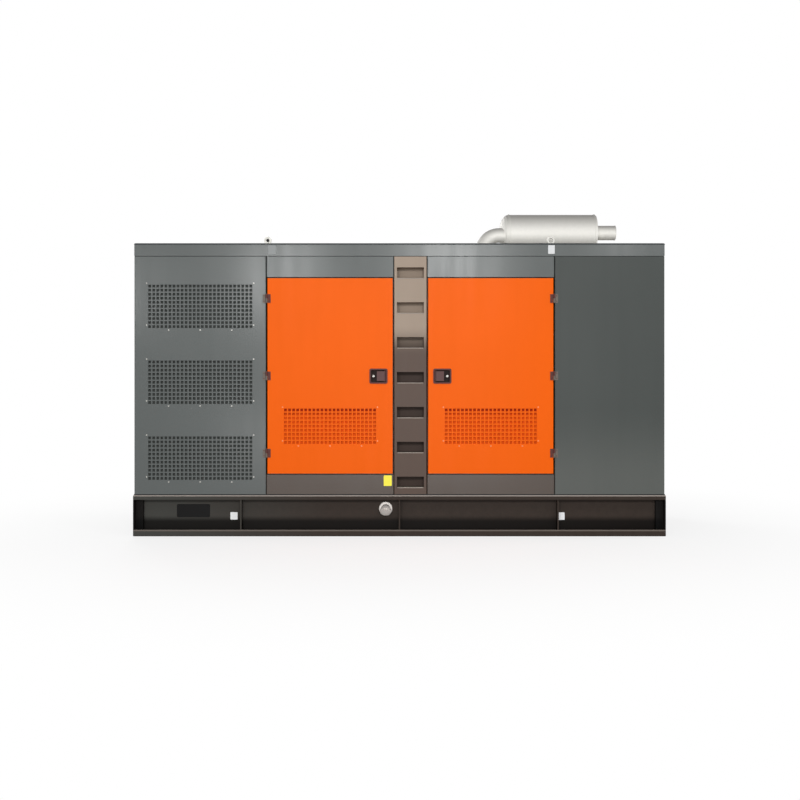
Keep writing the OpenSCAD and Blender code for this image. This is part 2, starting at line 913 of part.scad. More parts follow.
// Half of a lift-off hinge: a leaf on the -X side of the axis with a knuckle in its lower half
module hinge_half() {
    leaf_y = hinge_out - leaf_plate;
    knuckle_h = (hinge_height - knuckle_gap) / 2;
    inner = knuckle_r + knuckle_air;
    translate([-leaf_width, leaf_y, -hinge_height / 2])
        cube([leaf_width - inner, leaf_plate, hinge_height]);
    translate([-inner - lap, leaf_y, -hinge_height / 2]) cube([inner + lap, leaf_plate, knuckle_h]);
    translate([0, 0, -hinge_height / 2]) cylinder(r = knuckle_r, h = knuckle_h);
}

module at_hinges() {
    for (i = [-1:1]) translate([hinge_x, -hinge_out, hinge_mid + i * hinge_step]) children();
}

// Leaves on the frame, which carry the pins
module frame_leaves() {
    at_hinges() union() {
        hinge_half();
        translate([0, 0, -hinge_height / 2]) cylinder(r = pin_r, h = hinge_height + pin_r / 2);
    }
}

// Leaves on the door, bored for the pins
module door_leaves() {
    at_hinges() difference() {
        rotate([0, 180, 0]) hinge_half();
        translate([0, 0, -hinge_height]) cylinder(r = pin_r + pin_clearance, h = 2 * hinge_height);
    }
}

module left_door() {
    color("#f56a18") on_front() in_left_bay() door_panel();
}

module left_door_grille() {
    color("#f56a18") on_front() in_left_bay() grille_plate();
}

module left_door_baffle() {
    color("#f56a18") on_front() in_left_bay() grille_baffle();
}

module left_latch() {
    color("#4a403c") on_front() in_left_bay() latch();
}

module left_paddle() {
    color("#4a403c") on_front() in_left_bay() paddle();
}

module left_door_hinges() {
    color("#4a403c") on_front() in_left_bay() door_leaves();
}

module right_door() {
    color("#f56a18") on_front() in_right_bay() door_panel();
}

module right_door_grille() {
    color("#f56a18") on_front() in_right_bay() grille_plate();
}

module right_door_baffle() {
    color("#f56a18") on_front() in_right_bay() grille_baffle();
}

module right_latch() {
    color("#4a403c") on_front() in_right_bay() latch();
}

module right_paddle() {
    color("#4a403c") on_front() in_right_bay() paddle();
}

module right_door_hinges() {
    color("#4a403c") on_front() in_right_bay() door_leaves();
}

module frame_hinges() {
    color("#4a403c") on_front() in_both_bays() frame_leaves();
}

module rear_doors() {
    color("#f56a18") on_rear() in_both_bays() door_panel();
}

module rear_latches() {
    color("#4a403c") on_rear() in_both_bays() {
        latch();
        paddle();
    }
}

module rear_hinges() {
    color("#4a403c") on_rear() in_both_bays() {
        frame_leaves();
        door_leaves();
    }
}

// Roof fittings

module lifting_eyes() {
    color("#8a8782") for (x = [eye_left, eye_right] * stretch, s = [-1, 1])
        translate([x, s * (half_w - eye_inset), roof_top]) difference() {
            union() {
                cylinder(r = eye_collar_r, h = eye_collar);
                translate([0, eye_plate / 2, eye_r + lap]) rotate([90, 0, 0])
                    cylinder(r = eye_r, h = eye_plate);
            }
            translate([0, eye_plate, eye_r + lap]) rotate([90, 0, 0])
                cylinder(r = eye_hole_r, h = 2 * eye_plate);
        }
}

// Turn of a shape on the Z axis into the silencer's axis
module along_x(x, z) {
    translate([x, 0, z]) rotate([0, 90, 0]) children();
}

module muffler_shell() {
    color("#d8d6d0") along_x(muffler_at, muffler_z) difference() {
        cylinder(r = muffler_r, h = muffler_length);
        translate([0, 0, -lap]) cylinder(r = muffler_r - muffler_wall, h = muffler_length + 2 * lap);
    }
}

// Dished head with its rim on z = 0 and its bulge towards -Z
module dished_head(dish) {
    outer = [for (i = [0:corner_steps]) let (a = 90 * i / corner_steps)
        [muffler_r * cos(a), -dish * sin(a)]];
    inner = [for (i = [0:corner_steps]) let (a = 90 - 90 * i / corner_steps)
        [(muffler_r - muffler_wall) * cos(a), -(dish - muffler_wall) * sin(a)]];
    rotate_extrude() polygon([for (p = concat(outer, inner)) [max(p[0], 0), p[1]]]);
}

// Flat head with a round rim and the bore of the tail pipe, its rim on z = 0
module flat_head(depth) {
    bore = pipe_r - pipe_wall;
    rim = muffler_r - depth;
    rotate_extrude() polygon(concat(
        arc([rim, 0], depth, 0, 90),
        [[bore, depth], [bore, depth - muffler_wall]],
        arc([rim, 0], depth - muffler_wall, 90, 0)));
}

module muffler_heads() {
    color("#d8d6d0") {
        difference() {
            along_x(muffler_at, muffler_z) dished_head(inlet_dish);
            translate([0, riser_y, 0]) along_x(muffler_at - 2 * inlet_dish, pipe_z)
                cylinder(r = pipe_r + pipe_fit, h = 3 * inlet_dish);
        }
        along_x(muffler_end, muffler_z) flat_head(outlet_dish);
    }
}

// Open pipe of the exhaust's bore and wall
module tube(length) {
    difference() {
        cylinder(r = pipe_r, h = length);
        translate([0, 0, -lap]) cylinder(r = pipe_r - pipe_wall, h = length + 2 * lap);
    }
}

// Riser from the engine, a right-angled elbow and the run into the silencer
module exhaust_elbow() {
    color("#d8d6d0") translate([0, riser_y, 0]) union() {
        translate([riser_at, 0, turbo_top]) tube(elbow_z - turbo_top);
        translate([riser_at + elbow_bend, 0, elbow_z]) rotate([90, 0, 0]) rotate([0, 0, 90])
            rotate_extrude(angle = 90) translate([elbow_bend, 0]) difference() {
                circle(r = pipe_r);
                circle(r = pipe_r - pipe_wall);
            }
        along_x(riser_at + elbow_bend, pipe_z) tube(pipe_reach + inlet_dish / 2);
    }
}

module tail_pipe() {
    color("#d8d6d0") along_x(muffler_end + outlet_dish, muffler_z) tube(tail_length - outlet_dish);
}

// Cradles that carry the silencer above the roof
module muffler_saddles() {
    color("#8a8782") for (x = [muffler_at + saddle_inset, muffler_end - saddle_inset])
        translate([x, 0, roof_top]) difference() {
            union() {
                translate([-saddle_plate / 2, -saddle_half, 0])
                    cube([saddle_plate, 2 * saddle_half, muffler_lift + saddle_hug]);
                translate([-saddle_foot / 2, -saddle_half, 0])
                    cube([saddle_foot, 2 * saddle_half, saddle_plate]);
            }
            along_x(-saddle_foot, muffler_z - roof_top) cylinder(r = muffler_r, h = 2 * saddle_foot);
        }
}

// Engine set

// Places of the cylinders on the block's top
module at_cylinders() {
    for (i = [0:cylinder_count - 1])
        translate([block_x0 + head_inset + (i + 0.5) * bore_pitch, 0, block_top - lap]) children();
}

// Ribbed cylinder block with its flanged sump
module block() {
    rib_x0 = block_x0 + head_inset - rib_width / 2;
    translate([block_x0, -block_width / 2, block_bottom])
        cube([block_l, block_width, block_top - block_bottom]);
    for (i = [0:cylinder_count])
        translate([rib_x0 + i * bore_pitch, -block_width / 2 - rib_out, crank_z])
            cube([rib_width, block_width + 2 * rib_out, block_rise - 2 * rib_width]);
    translate([block_x0, -block_width / 2 - sump_lip, block_bottom - lap])
        cube([block_l, block_width + 2 * sump_lip, sump_lip]);
    translate([block_x0 + sump_inset, -sump_width / 2, base_height + sump_lift])
        cube([block_l - 2 * sump_inset, sump_width, block_bottom - base_height - sump_lift]);
}

// Cylinder heads and rocker covers, with ports to a manifold on either side
module heads() {
    manifold_y = block_width / 2 + manifold_out;
    manifold_x0 = block_x0 + head_inset;
    at_cylinders() {
        linear_extrude(head_height) rounded(bore_pitch - head_gap, head_width, cover_step);
        linear_extrude(head_height + cover_height)
            rounded(bore_pitch - head_gap - 2 * cover_step, cover_width, cover_corner);
        for (s = [-1, 1]) translate([0, 0, head_height / 2]) rotate([s * 90, 0, 0])
            cylinder(r = port_r, h = manifold_y);
    }
    for (s = [-1, 1]) translate([0, s * manifold_y, block_top - lap + head_height / 2])
        along_x(manifold_x0, 0) cylinder(r = manifold_r, h = riser_at + manifold_r - manifold_x0);
}

// Turbocharger under the riser, joined to both manifolds
module turbocharger() {
    cross = block_width / 2 + manifold_out;
    translate([riser_at, riser_y, block_top - lap]) cylinder(r = turbo_r, h = turbo_height);
    translate([riser_at, riser_y, block_top]) cylinder(r = pipe_r, h = turbo_rise);
    translate([riser_at, cross, block_top - lap + head_height / 2]) rotate([90, 0, 0])
        cylinder(r = port_r, h = 2 * cross);
}

// Oil filters under their bracket, and the starter motor beside the flywheel housing
module side_gear() {
    side = block_width / 2;
    filter_y = -side - filter_r - rib_out;
    bracket_l = filter_pitch + 2 * filter_r;
    mid = block_x0 + block_l / 2;
    for (s = [-1, 1]) translate([mid + s * filter_pitch / 2, filter_y, crank_z - filter_height])
        cylinder(r = filter_r, h = filter_height);
    translate([mid - bracket_l / 2, filter_y - filter_r, crank_z - lap])
        cube([bracket_l, filter_r * 2 + rib_out + lap, port_r]);
    translate([0, -side, 0]) along_x(block_x0 - lap, crank_z - starter_r)
        cylinder(r = starter_r, h = starter_length);
}

// Pulleys of the crankshaft and the fan, and the fan's shaft
module pulleys() {
    along_x(block_x1 - lap, crank_z) cylinder(r = pulley_r, h = pulley_depth);
    along_x(block_x1 - lap, fan_z) cylinder(r = fan_pulley_r, h = pulley_depth);
    along_x(block_x1 - lap, fan_z) cylinder(r = shaft_r, h = fan_at - block_x1 + lap);
}

module engine_feet() {
    for (x = [block_x0 + foot_inset, block_x1 - foot_inset - foot_length], s = [-1, 1])
        translate([x, s * block_width / 2 - foot_width / 2, base_height])
            cube([foot_length, foot_width, block_bottom - base_height + foot_width / 2]);
}

module engine() {
    color("#7d8286") union() {
        block();
        heads();
        turbocharger();
        side_gear();
        pulleys();
        engine_feet();
        along_x(flywheel_at, crank_z) cylinder(r = alternator_r, h = housing_depth + lap);
    }
}

// Ribbed barrel between flanges, end bell, terminal box and feet
module alternator() {
    x0 = flywheel_at - alternator_l;
    barrel = alternator_l - bell_length;
    barrel_r = alternator_r - barrel_step;
    rib_pitch = (barrel - flange_width) / (rib_count + 1);
    foot_y = alternator_r - foot_width / 2;
    color("#7d8286") union() {
        along_x(x0 + bell_length, crank_z) cylinder(r = barrel_r, h = barrel);
        along_x(x0, crank_z) cylinder(r = barrel_r - flange_width, h = bell_length + lap);
        for (x = [x0 + bell_length - lap, flywheel_at - flange_width])
            along_x(x, crank_z) cylinder(r = alternator_r, h = flange_width);
        for (i = [1:rib_count]) along_x(x0 + bell_length + flange_width / 2 + i * rib_pitch, crank_z)
            cylinder(r = alternator_r - barrel_step / 2, h = rib_width);
        translate([x0 + bell_length + flange_width + rib_width, -box_width / 2, crank_z])
            cube([box_length, box_width, alternator_r + box_rise]);
        for (s = [-1, 1])
            translate([x0 + bell_length + flange_width, s * foot_y - foot_width / 2, base_height])
                cube([barrel - 2 * flange_width, foot_width, crank_rise - alternator_r / 2]);
    }
}

// Hub with pitched flat blades inside the shroud's ring
module cooling_fan() {
    root = fan_hub_r - blade_plate;
    color("#2b2d2f") along_x(fan_at, fan_z) union() {
        cylinder(r = fan_hub_r, h = fan_depth);
        for (i = [0:blade_count - 1]) rotate([0, 0, i * 360 / blade_count])
            translate([root, 0, fan_depth / 2]) rotate([blade_turn, 0, 0])
                translate([0, -blade_width / 2, -blade_plate / 2])
                    cube([fan_r - tip_gap - root, blade_width, blade_plate]);
    }
}

// Core with header tanks and a shroud that rings the fan
module radiator() {
    tank_l = radiator_depth + 2 * tank_lip;
    tank_w = radiator_width + 2 * tank_lip;
    color("#3c3f42") difference() {
        union() {
            translate([radiator_at, -radiator_width / 2, base_height])
                cube([radiator_depth, radiator_width, radiator_height]);
            for (z = [0, radiator_height - tank_height])
                translate([radiator_at - tank_lip, -tank_w / 2, base_height + z])
                    cube([tank_l, tank_w, tank_height]);
            along_x(radiator_at - shroud_depth, fan_z)
                cylinder(r = fan_r + shroud_plate, h = shroud_depth + lap);
        }
        along_x(radiator_at - shroud_depth - lap, fan_z) cylinder(r = fan_r, h = shroud_depth + lap);
    }
}

front_rail();
rear_rail();
end_beams();
corner_posts();
rail_gussets();
deck_plate();
gas_inlet();
front_inlet_panel();
front_plain_panel();
front_door_frames();
ladder_column();
foot_pockets();
rear_inlet_panel();
rear_plain_panel();
rear_door_frames();
rear_column();
left_end_wall();
right_end_wall();
roof();
front_mesh_top();
front_mesh_middle();
front_mesh_bottom();
rear_mesh_top();
rear_mesh_middle();
rear_mesh_bottom();
outlet_mesh();
rear_door_grilles();
air_baffles();
left_door();
left_door_grille();
left_door_baffle();
left_latch();
left_paddle();
left_door_hinges();
right_door();
right_door_grille();
right_door_baffle();
right_latch();
right_paddle();
right_door_hinges();
frame_hinges();
rear_doors();
rear_latches();
rear_hinges();
lifting_eyes();
muffler_shell();
muffler_heads();
exhaust_elbow();
tail_pipe();
muffler_saddles();
engine();
alternator();
cooling_fan();
radiator();
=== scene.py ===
"""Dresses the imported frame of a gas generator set: paints, screws, seals, plates, linings and its studio."""

import json
import math

import bmesh
import bpy
from mathutils import Matrix, Vector


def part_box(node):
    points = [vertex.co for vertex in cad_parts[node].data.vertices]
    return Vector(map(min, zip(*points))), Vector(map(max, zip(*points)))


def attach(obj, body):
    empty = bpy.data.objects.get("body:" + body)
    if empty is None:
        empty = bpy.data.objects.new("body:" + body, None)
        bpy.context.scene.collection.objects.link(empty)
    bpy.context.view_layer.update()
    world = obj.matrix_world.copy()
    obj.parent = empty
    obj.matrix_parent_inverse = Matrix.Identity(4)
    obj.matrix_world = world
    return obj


bl_info = {
    "name": "Gas Generator Set Looks",
    "version": (1, 0, 0),
    "blender": (4, 5, 0),
    "location": "View3D > Sidebar > Generator Set",
    "description": "Paints and fits out the canopy, base, exhaust and engine of a gas generator set",
    "category": "Object",
}

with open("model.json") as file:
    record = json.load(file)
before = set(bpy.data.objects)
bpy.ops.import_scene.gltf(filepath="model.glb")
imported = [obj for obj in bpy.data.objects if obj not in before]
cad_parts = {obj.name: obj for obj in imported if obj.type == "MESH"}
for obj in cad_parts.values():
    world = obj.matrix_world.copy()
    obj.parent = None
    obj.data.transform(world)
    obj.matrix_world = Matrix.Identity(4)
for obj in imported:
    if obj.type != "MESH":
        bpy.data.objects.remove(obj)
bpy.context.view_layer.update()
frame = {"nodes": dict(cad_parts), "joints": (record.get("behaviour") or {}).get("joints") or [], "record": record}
JOINTS = {joint["name"]: Vector(joint["pos_m"]) for joint in frame["joints"]}
OPENINGS = {o["name"]: [Vector(c) for c in o["box_m"]] for o in frame["record"]["physics"]["openings"]}
# Each front door with the way along X from its hinges to its latch
SIDES = (("left", 1), ("right", -1))
AHEAD, BEHIND = (0, -1, 0), (0, 1, 0)
# Signs of a rectangle's corners in turn
CORNERS = ((1, 1), (-1, 1), (-1, -1), (1, -1))
# Edges flatter than this are shaded smooth
SMOOTH_BELOW = math.radians(30)
LEAST_CORNER = 1e-4
# Heights between which a foot tone fades into the rest; on the door frames it is dust with painted reflection and
# painted shade
FOOT_HEIGHTS = (0.4, 1.9)
FASTENERS = "FastenerHeads"


def linear(code):
    """Linear RGB of an sRGB hex colour."""
    parts = [int(code[i : i + 2], 16) / 255 for i in (1, 3, 5)]
    return tuple(p / 12.92 if p <= 0.04045 else ((p + 0.055) / 1.055) ** 2.4 for p in parts)


def tint(name, description, code):
    """Colour property with its default given as an sRGB hex value."""
    return bpy.props.FloatVectorProperty(
        name=name, description=description, subtype="COLOR", size=3, min=0, max=1, default=linear(code)
    )


def length(name, description, metres):
    """Length property in metres."""
    return bpy.props.FloatProperty(
        name=name, description=description, default=metres, min=0, precision=4, unit="LENGTH"
    )


class GensetColours(bpy.types.PropertyGroup):
    """Colours of the paints, plates and bare metals"""

    canopy: tint("Canopy", "Powder coat of the walls and the roof", "#5E6261")
    # Painted shade: the plain panels take a darker copy of the canopy's coat, for the reflection they lack
    plain: tint("Plain panel", "Darker batch of the same coat on the plain panels", "#474B49")
    # Painted bounced light: a lighter tone on the lower plain panels
    plain_bounce_light: tint("Plain panel foot", "Dust on the foot of the plain panels", "#595C59")
    # Painted highlight and reflection: the column and its pockets take a lighter, warmer copy of the canopy's coat
    column: tint("Ladder column", "Warmer batch of the same coat on the column and its pockets", "#9D8D7E")
    # Painted shade: the column's coat darkens below about 1.3 m
    column_shade: tint("Ladder foot", "The column's coat where boots and dust have darkened it", "#574840")
    # Painted shade: the same darkening in the lower foot pockets
    pocket_shade: tint("Lower pockets", "The same wear in the lower foot pockets", "#443731")
    # Painted shade: the trays are darker than the canopy's coat, for the shade seen through the holes
    baffle: tint("Air baffles", "Coat of the trays behind the punched plates", "#3F4240")
    # Painted shade: the door trays are a darker orange than the doors, for the shade seen through the grilles
    door_baffle: tint("Door baffles", "Coat of the trays behind the door grilles", "#DE540D")
    # Painted shadow: the trays above 0.9 m are darker still, where the grilles' top rows lie in shadow
    baffle_top_shadow: tint("Door baffle tops", "The same coat where the trays' tops are sooty", "#B03008")
    # Painted shade: a dark mat in each latch dish stands in for the shade in the dish
    dish: tint("Latch dishes", "Rubber mats in the latch dishes", "#1F1310")
    # Partly dust, partly painted: the door frames' warm, darker foot is also a painted reflection of the orange
    # doors and painted shade
    dust: tint("Yard dust", "Dust in the coat of the door frames, thickest at their foot", "#5A514B")
    # Painted shade: a near-black coat on the corner posts and rail end plates stands in for the shade in the rail
    # ends
    recess: tint("Rail ends", "Coat in the recesses at the ends of the rails", "#141211")
    # Painted dark reflection: a dark strip along the roof's upper edge
    trim: tint("Roof edge", "Rubber strip on the roof's upper edge", "#34383A")
    door: tint("Doors", "Powder coat of the doors and their grilles", "#F0620A")
    base: tint("Base", "Chassis paint of the skid base", "#39312C")
    door_screw: tint("Door screws", "Rubbed door paint on the heads of the door grilles' screws", "#F58F4C")
    # A greyer tone on the base towards the air inlet's end
    base_inlet_grey: tint("Base dust", "Grey dust on the base at the air inlet's end", "#4A4D4A")
    # Painted highlight: a light coat on the nosings, along the pockets' lower edges
    nosing: tint("Pocket nosings", "Coat that boots have rubbed thin on the pockets' nosings", "#9E9389")
    fitting: tint("Latches and hinges", "Dark coat on the zinc castings", "#5C3834")
    paddle: tint("Pull paddles", "Rubbed coat of the pull paddles", "#5C4342")
    leaf: tint("Hinge leaves", "Coat of the hinge leaves on the door frames", "#615850")
    zinc: tint("Zinc plate", "Bright zinc on screws and lifting eyes", "#9B9A95")
    galvanised: tint("Galvanised iron", "Dipped zinc of the gas inlet", "#CFC9C4")
    exhaust: tint("Exhaust", "Aluminised steel of the silencer and its pipes", "#F4F2EC")
    machine: tint("Machine enamel", "Brushed enamel of the engine and alternator", "#7B8184")
    radiator: tint("Radiator", "Stoved black of the radiator and fan", "#26282A")
    seal: tint("Seals", "Black cellular rubber of the door seals", "#1B1B1C")
    white_plate: tint("White plates", "Face of the pale plates", "#F2F3F4")
    pale_plate: tint("Pale roof plate", "Face of the plate over the right door", "#CDCFD0")
    yellow_plate: tint("Yellow plate", "Face of the yellow plate", "#F4E81E")
    grey_plate: tint("Grey plate", "Face of the plate that is close to the canopy's grey", "#767A7A")
    dark_plate: tint("Dark plate", "Anodised face of the plate on the base", "#0D0C0C")


class GensetSizes(bpy.types.PropertyGroup):
    """Sizes of what is fitted to the CAD solids"""

    screw_radius: length("Screw head", "Radius of a grille screw's head", 0.0042)
    screw_washer: length("Screw washer", "Radius of a grille screw's washer", 0.0060)
    screw_height: length("Screw height", "Height of a grille screw's head above its washer", 0.0030)
    washer_height: length("Washer height", "Thickness of a grille screw's washer", 0.0015)
    plate_margin: length("Plate margin", "Part of a punched plate's border that the skin hides", 0.02275)
    screw_side: length("Screws beside a grille", "Distance of the side screws from a grille's opening", 0.009)
    screw_under: length("Screws under a grille", "Distance of the lower screws from an opening", 0.0135)
    screw_lift: length("Lower side screws", "Height of the lower side screws above the opening's edge", 0.023)
    screw_pitch: length("Lower screw pitch", "Distance between the screws under a grille", 0.226)
    end_margin: length("End wall margin", "Distance of the end walls' screws from their edges", 0.04)
    hinge_screw: length("Hinge screw", "Radius of a hinge screw's head", 0.0034)
    rolled_edge: length("Rolled edge", "Width of the round edges of the base channels", 0.0038)
    seal_radius: length("Seal", "Radius of the hollow door seal", 0.0027)
    plate_depth: length("Plates", "Thickness of the plates fixed to the paint", 0.0012)
    lining_depth: length("Door lining", "Thickness of the perforated lining trays in the doors", 0.022)
    nosing: length("Pocket nosing", "Radius of the nosings under the foot pockets", 0.0031)
    weld_height: length("Weld bead", "Height of the weld beads on the exhaust", 0.0035)
    flange_bolt: length("Engine bolt", "Radius of the bolt heads on the engine set", 0.013)


# Nodes, meshes and pieces


def add(tree, kind, inputs=(), **settings):
    """Adds a node to a tree with its settings, and links or fills its inputs."""
    node = tree.nodes.new(kind)
    for name, value in settings.items():
        setattr(node, name, value)
    for key, value in dict(inputs).items():
        if isinstance(value, bpy.types.NodeSocket):
            tree.links.new(value, node.inputs[key])
        else:
            node.inputs[key].default_value = value
    return node


def fit(name, mesh, body, material=None):
    """Puts a finished mesh on a body of the frame."""
    if material is not None:
        mesh.materials.append(material)
    piece = bpy.data.objects.new(name, mesh)
    bpy.context.scene.collection.objects.link(piece)
    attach(piece, body)
    return piece


def mesh_of(name, build):
    """Mesh made by a function that fills a bmesh, with outward normals and smooth shallow edges."""
    bm = bmesh.new()
    build(bm)
    bmesh.ops.recalc_face_normals(bm, faces=bm.faces)
    for face in bm.faces:
        face.smooth = True
    for edge in bm.edges:
        edge.smooth = len(edge.link_faces) == 2 and edge.calc_face_angle(0) < SMOOTH_BELOW
    mesh = bpy.data.meshes.new(name)
    bm.to_mesh(mesh)
    bm.free()
    return mesh


def revolve(bm, profile, place, steps):
    """Turns (radius, height) pairs about a matrix's Z: a solid if they start on the axis, or else a ring."""
    rings = []
    for radius, height in profile:
        turns = [2 * math.pi * i / steps for i in range(steps if radius else 1)]
        points = [Vector((radius * math.cos(a), radius * math.sin(a), height)) for a in turns]
        rings.append([bm.verts.new(place @ point) for point in points])
    follow = rings[1:] if profile[0][0] == 0 else rings[1:] + rings[:1]
    for low, high in zip(rings, follow):
        for i in range(steps):
            j = i + 1
            corners = [low[i % len(low)], low[j % len(low)], high[j % len(high)], high[i % len(high)]]
            bm.faces.new(list(dict.fromkeys(corners)))


def slab(bm, width, height, corner, layers, place, steps=5):
    """Round-cornered slab on the XY of a placing matrix, its wall given by (level, inset) pairs."""
    loops = []
    for level, inset in layers:
        radius = max(corner - inset, LEAST_CORNER)
        loop = []
        for turn, (sx, sy) in enumerate(CORNERS):
            centre = Vector((sx * (width / 2 - inset - radius), sy * (height / 2 - inset - radius), level))
            for i in range(steps + 1):
                angle = math.pi / 2 * (turn + i / steps)
                spoke = Vector((math.cos(angle), math.sin(angle), 0))
                loop.append(bm.verts.new(place @ (centre + radius * spoke)))
        loops.append(loop)
    for low, high in zip(loops, loops[1:]):
        for i in range(len(low)):
            j = (i + 1) % len(low)
            bm.faces.new((low[i], low[j], high[j], high[i]))
    bm.faces.new(loops[0][::-1])
    bm.faces.new(loops[-1])


def facing(spot, normal):
    """Placing matrix with its Z along a normal and its Y as near to upright as that allows."""
    normal = Vector(normal).normalized()
    side = Vector((0, 0, 1)).cross(normal)
    side = side.normalized() if side.length > 1e-6 else Vector((1, 0, 0))
    turn = Matrix((side, normal.cross(side), normal)).transposed()
    return Matrix.Translation(Vector(spot)) @ turn.to_4x4()


def grow(name, seed, tree, values):
    """Runs a geometry tree on a seed mesh and returns what it makes as a plain mesh."""
    host = bpy.data.objects.new(name, seed)
    bpy.context.scene.collection.objects.link(host)
    modifier = host.modifiers.new("Grow", "NODES")
    modifier.node_group = tree
    for item in tree.interface.items_tree:
        if item.in_out == "INPUT" and item.name in values:
            modifier[item.identifier] = values[item.name]
    depsgraph = bpy.context.evaluated_depsgraph_get()
    mesh = bpy.data.meshes.new_from_object(host.evaluated_get(depsgraph), depsgraph=depsgraph)
    bpy.data.objects.remove(host)
    if not mesh.polygons:
        raise RuntimeError(f"the tree of {name} made no faces")
    mesh.name = name
    return mesh


# Geometry trees


def new_tree(name, **inputs):
    """Geometry tree with named inputs, listed by the kind of their sockets, and what its input node gives."""
    tree = bpy.data.node_groups.new(name, "GeometryNodeTree")
    tree.interface.new_socket("Geometry", in_out="INPUT", socket_type="NodeSocketGeometry")
    for kind, labels in inputs.items():
        for label in labels:
            tree.interface.new_socket(label, in_out="INPUT", socket_type="NodeSocket" + kind)
    tree.interface.new_socket("Geometry", in_out="OUTPUT", socket_type="NodeSocketGeometry")
    return tree, add(tree, "NodeGroupInput").outputs


def close_tree(tree, shape, finish):
    """Ends a tree: instances are made real meshes, and all of it gets one finish."""
    solid = add(tree, "GeometryNodeRealizeInstances", {"Geometry": shape})
    done = add(tree, "GeometryNodeSetMaterial", {"Geometry": solid.outputs["Geometry"], "Material": finish})
    add(tree, "NodeGroupOutput", {"Geometry": done.outputs["Geometry"]})
    return tree


def fastener_tree():
    """A washered head on every point of the seed, along the point's own facing and turned at random."""
    tree, given = new_tree(
        FASTENERS,
        Float=("Head Radius", "Head Height", "Washer Radius", "Washer Height"),
        Int=("Head Sides",),
        Material=("Finish",),
    )
    rim = add(tree, "ShaderNodeMath", {0: given["Washer Radius"], 1: 0.92}, operation="MULTIPLY")
    washer = add(
        tree,
        "GeometryNodeMeshCone",
        {
            "Vertices": 14,
            "Radius Top": rim.outputs[0],
            "Radius Bottom": given["Washer Radius"],
            "Depth": given["Washer Height"],
        },
    )
    crown = add(tree, "ShaderNodeMath", {0: given["Head Radius"], 1: 0.8}, operation="MULTIPLY")
    head = add(
        tree,
        "GeometryNodeMeshCone",
        {
            "Vertices": given["Head Sides"],
            "Radius Top": crown.outputs[0],
            "Radius Bottom": given["Head Radius"],
            "Depth": given["Head Height"],
        },
    )
    lift = add(tree, "ShaderNodeCombineXYZ", {"Z": given["Washer Height"]}).outputs[0]
    raised = add(tree, "GeometryNodeTransform", {"Geometry": head.outputs["Mesh"], "Translation": lift})
    shape = add(tree, "GeometryNodeJoinGeometry")
    for part in (washer.outputs["Mesh"], raised.outputs["Geometry"]):
        tree.links.new(part, shape.inputs["Geometry"])
    normal = add(tree, "GeometryNodeInputNamedAttribute", {"Name": "facing"}, data_type="FLOAT_VECTOR")
    aim = add(tree, "FunctionNodeAlignRotationToVector", {"Vector": normal.outputs["Attribute"]}, axis="Z")
    full_turn = {"Max": (0, 0, 2 * math.pi), "Seed": 7}
    spin = add(tree, "FunctionNodeRandomValue", full_turn, data_type="FLOAT_VECTOR")
    turn = add(tree, "FunctionNodeEulerToRotation", {"Euler": spin.outputs["Value"]})
    pose = add(
        tree,
        "FunctionNodeRotateRotation",
        {"Rotation": aim.outputs["Rotation"], "Rotate By": turn.outputs["Rotation"]},
        rotation_space="LOCAL",
    )
    spread = add(
        tree,
        "GeometryNodeInstanceOnPoints",
        {
            "Points": given["Geometry"],
            "Instance": shape.outputs["Geometry"],
            "Rotation": pose.outputs["Rotation"],
        },
    )
    return close_tree(tree, spread.outputs["Instances"], given["Finish"])


def seal_tree():
    """A round cord along a rectangle with round corners, laid upright in the XZ plane about its centre."""
    tree, given = new_tree(
        "DoorSeal",
        Float=("Width", "Height", "Corner", "Cord Radius"),
        Vector=("Centre",),
        Material=("Finish",),
    )
    outline = {"Width": given["Width"], "Height": given["Height"]}
    path = add(tree, "GeometryNodeCurvePrimitiveQuadrilateral", outline)
    rounding = {"Curve": path.outputs["Curve"], "Radius": given["Corner"], "Count": 6}
    bend = add(tree, "GeometryNodeFilletCurve", rounding, mode="POLY")
    cord = add(tree, "GeometryNodeCurvePrimitiveCircle", {"Resolution": 12, "Radius": given["Cord Radius"]})
    swept = {"Curve": bend.outputs["Curve"], "Profile Curve": cord.outputs["Curve"]}
    tube = add(tree, "GeometryNodeCurveToMesh", swept)
    upright = add(
        tree,
        "GeometryNodeTransform",
        {"Geometry": tube.outputs["Mesh"], "Translation": given["Centre"], "Rotation": (math.pi / 2, 0, 0)},
    )
    return close_tree(tree, upright.outputs["Geometry"], given["Finish"])


def nosing_tree():
    """A round bar along X on every point of the seed."""
    tree, given = new_tree("TreadNosings", Float=("Length", "Radius"), Material=("Finish",))
    sizes = {"Vertices": 16, "Radius": given["Radius"], "Depth": given["Length"]}
    bar = add(tree, "GeometryNodeMeshCylinder", sizes, fill_type="TRIANGLE_FAN")
    lying = {"Geometry": bar.outputs["Mesh"], "Rotation": (0, math.pi / 2, 0)}
    laid = add(tree, "GeometryNodeTransform", lying)
    spread = add(
        tree,
        "GeometryNodeInstanceOnPoints",
        {"Points": given["Geometry"], "Instance": laid.outputs["Geometry"]},
    )
    return close_tree(tree, spread.outputs["Instances"], given["Finish"])


def fasten(name, body, spots, head, washer, sides, finish, slot=None):
    """Grows washered heads on a body's (point, facing) spots: head and washer are (radius, height) pairs."""
    seed = bpy.data.meshes.new(name)
    seed.from_pydata([spot for spot, _ in spots], [], [])
    directions = seed.attributes.new("facing", "FLOAT_VECTOR", "POINT")
    for i, (_, normal) in enumerate(spots):
        directions.data[i].vector = normal
    values = {
        "Head Radius": head[0],
        "Head Height": head[1],
        "Washer Radius": washer[0],
        "Washer Height": washer[1],
        "Head Sides": sides,
        "Finish": FINISHES[finish],
    }
    tree = bpy.data.node_groups.get(FASTENERS) or fastener_tree()
    fit(name, grow(name, seed, tree, values), body)


# Finishes


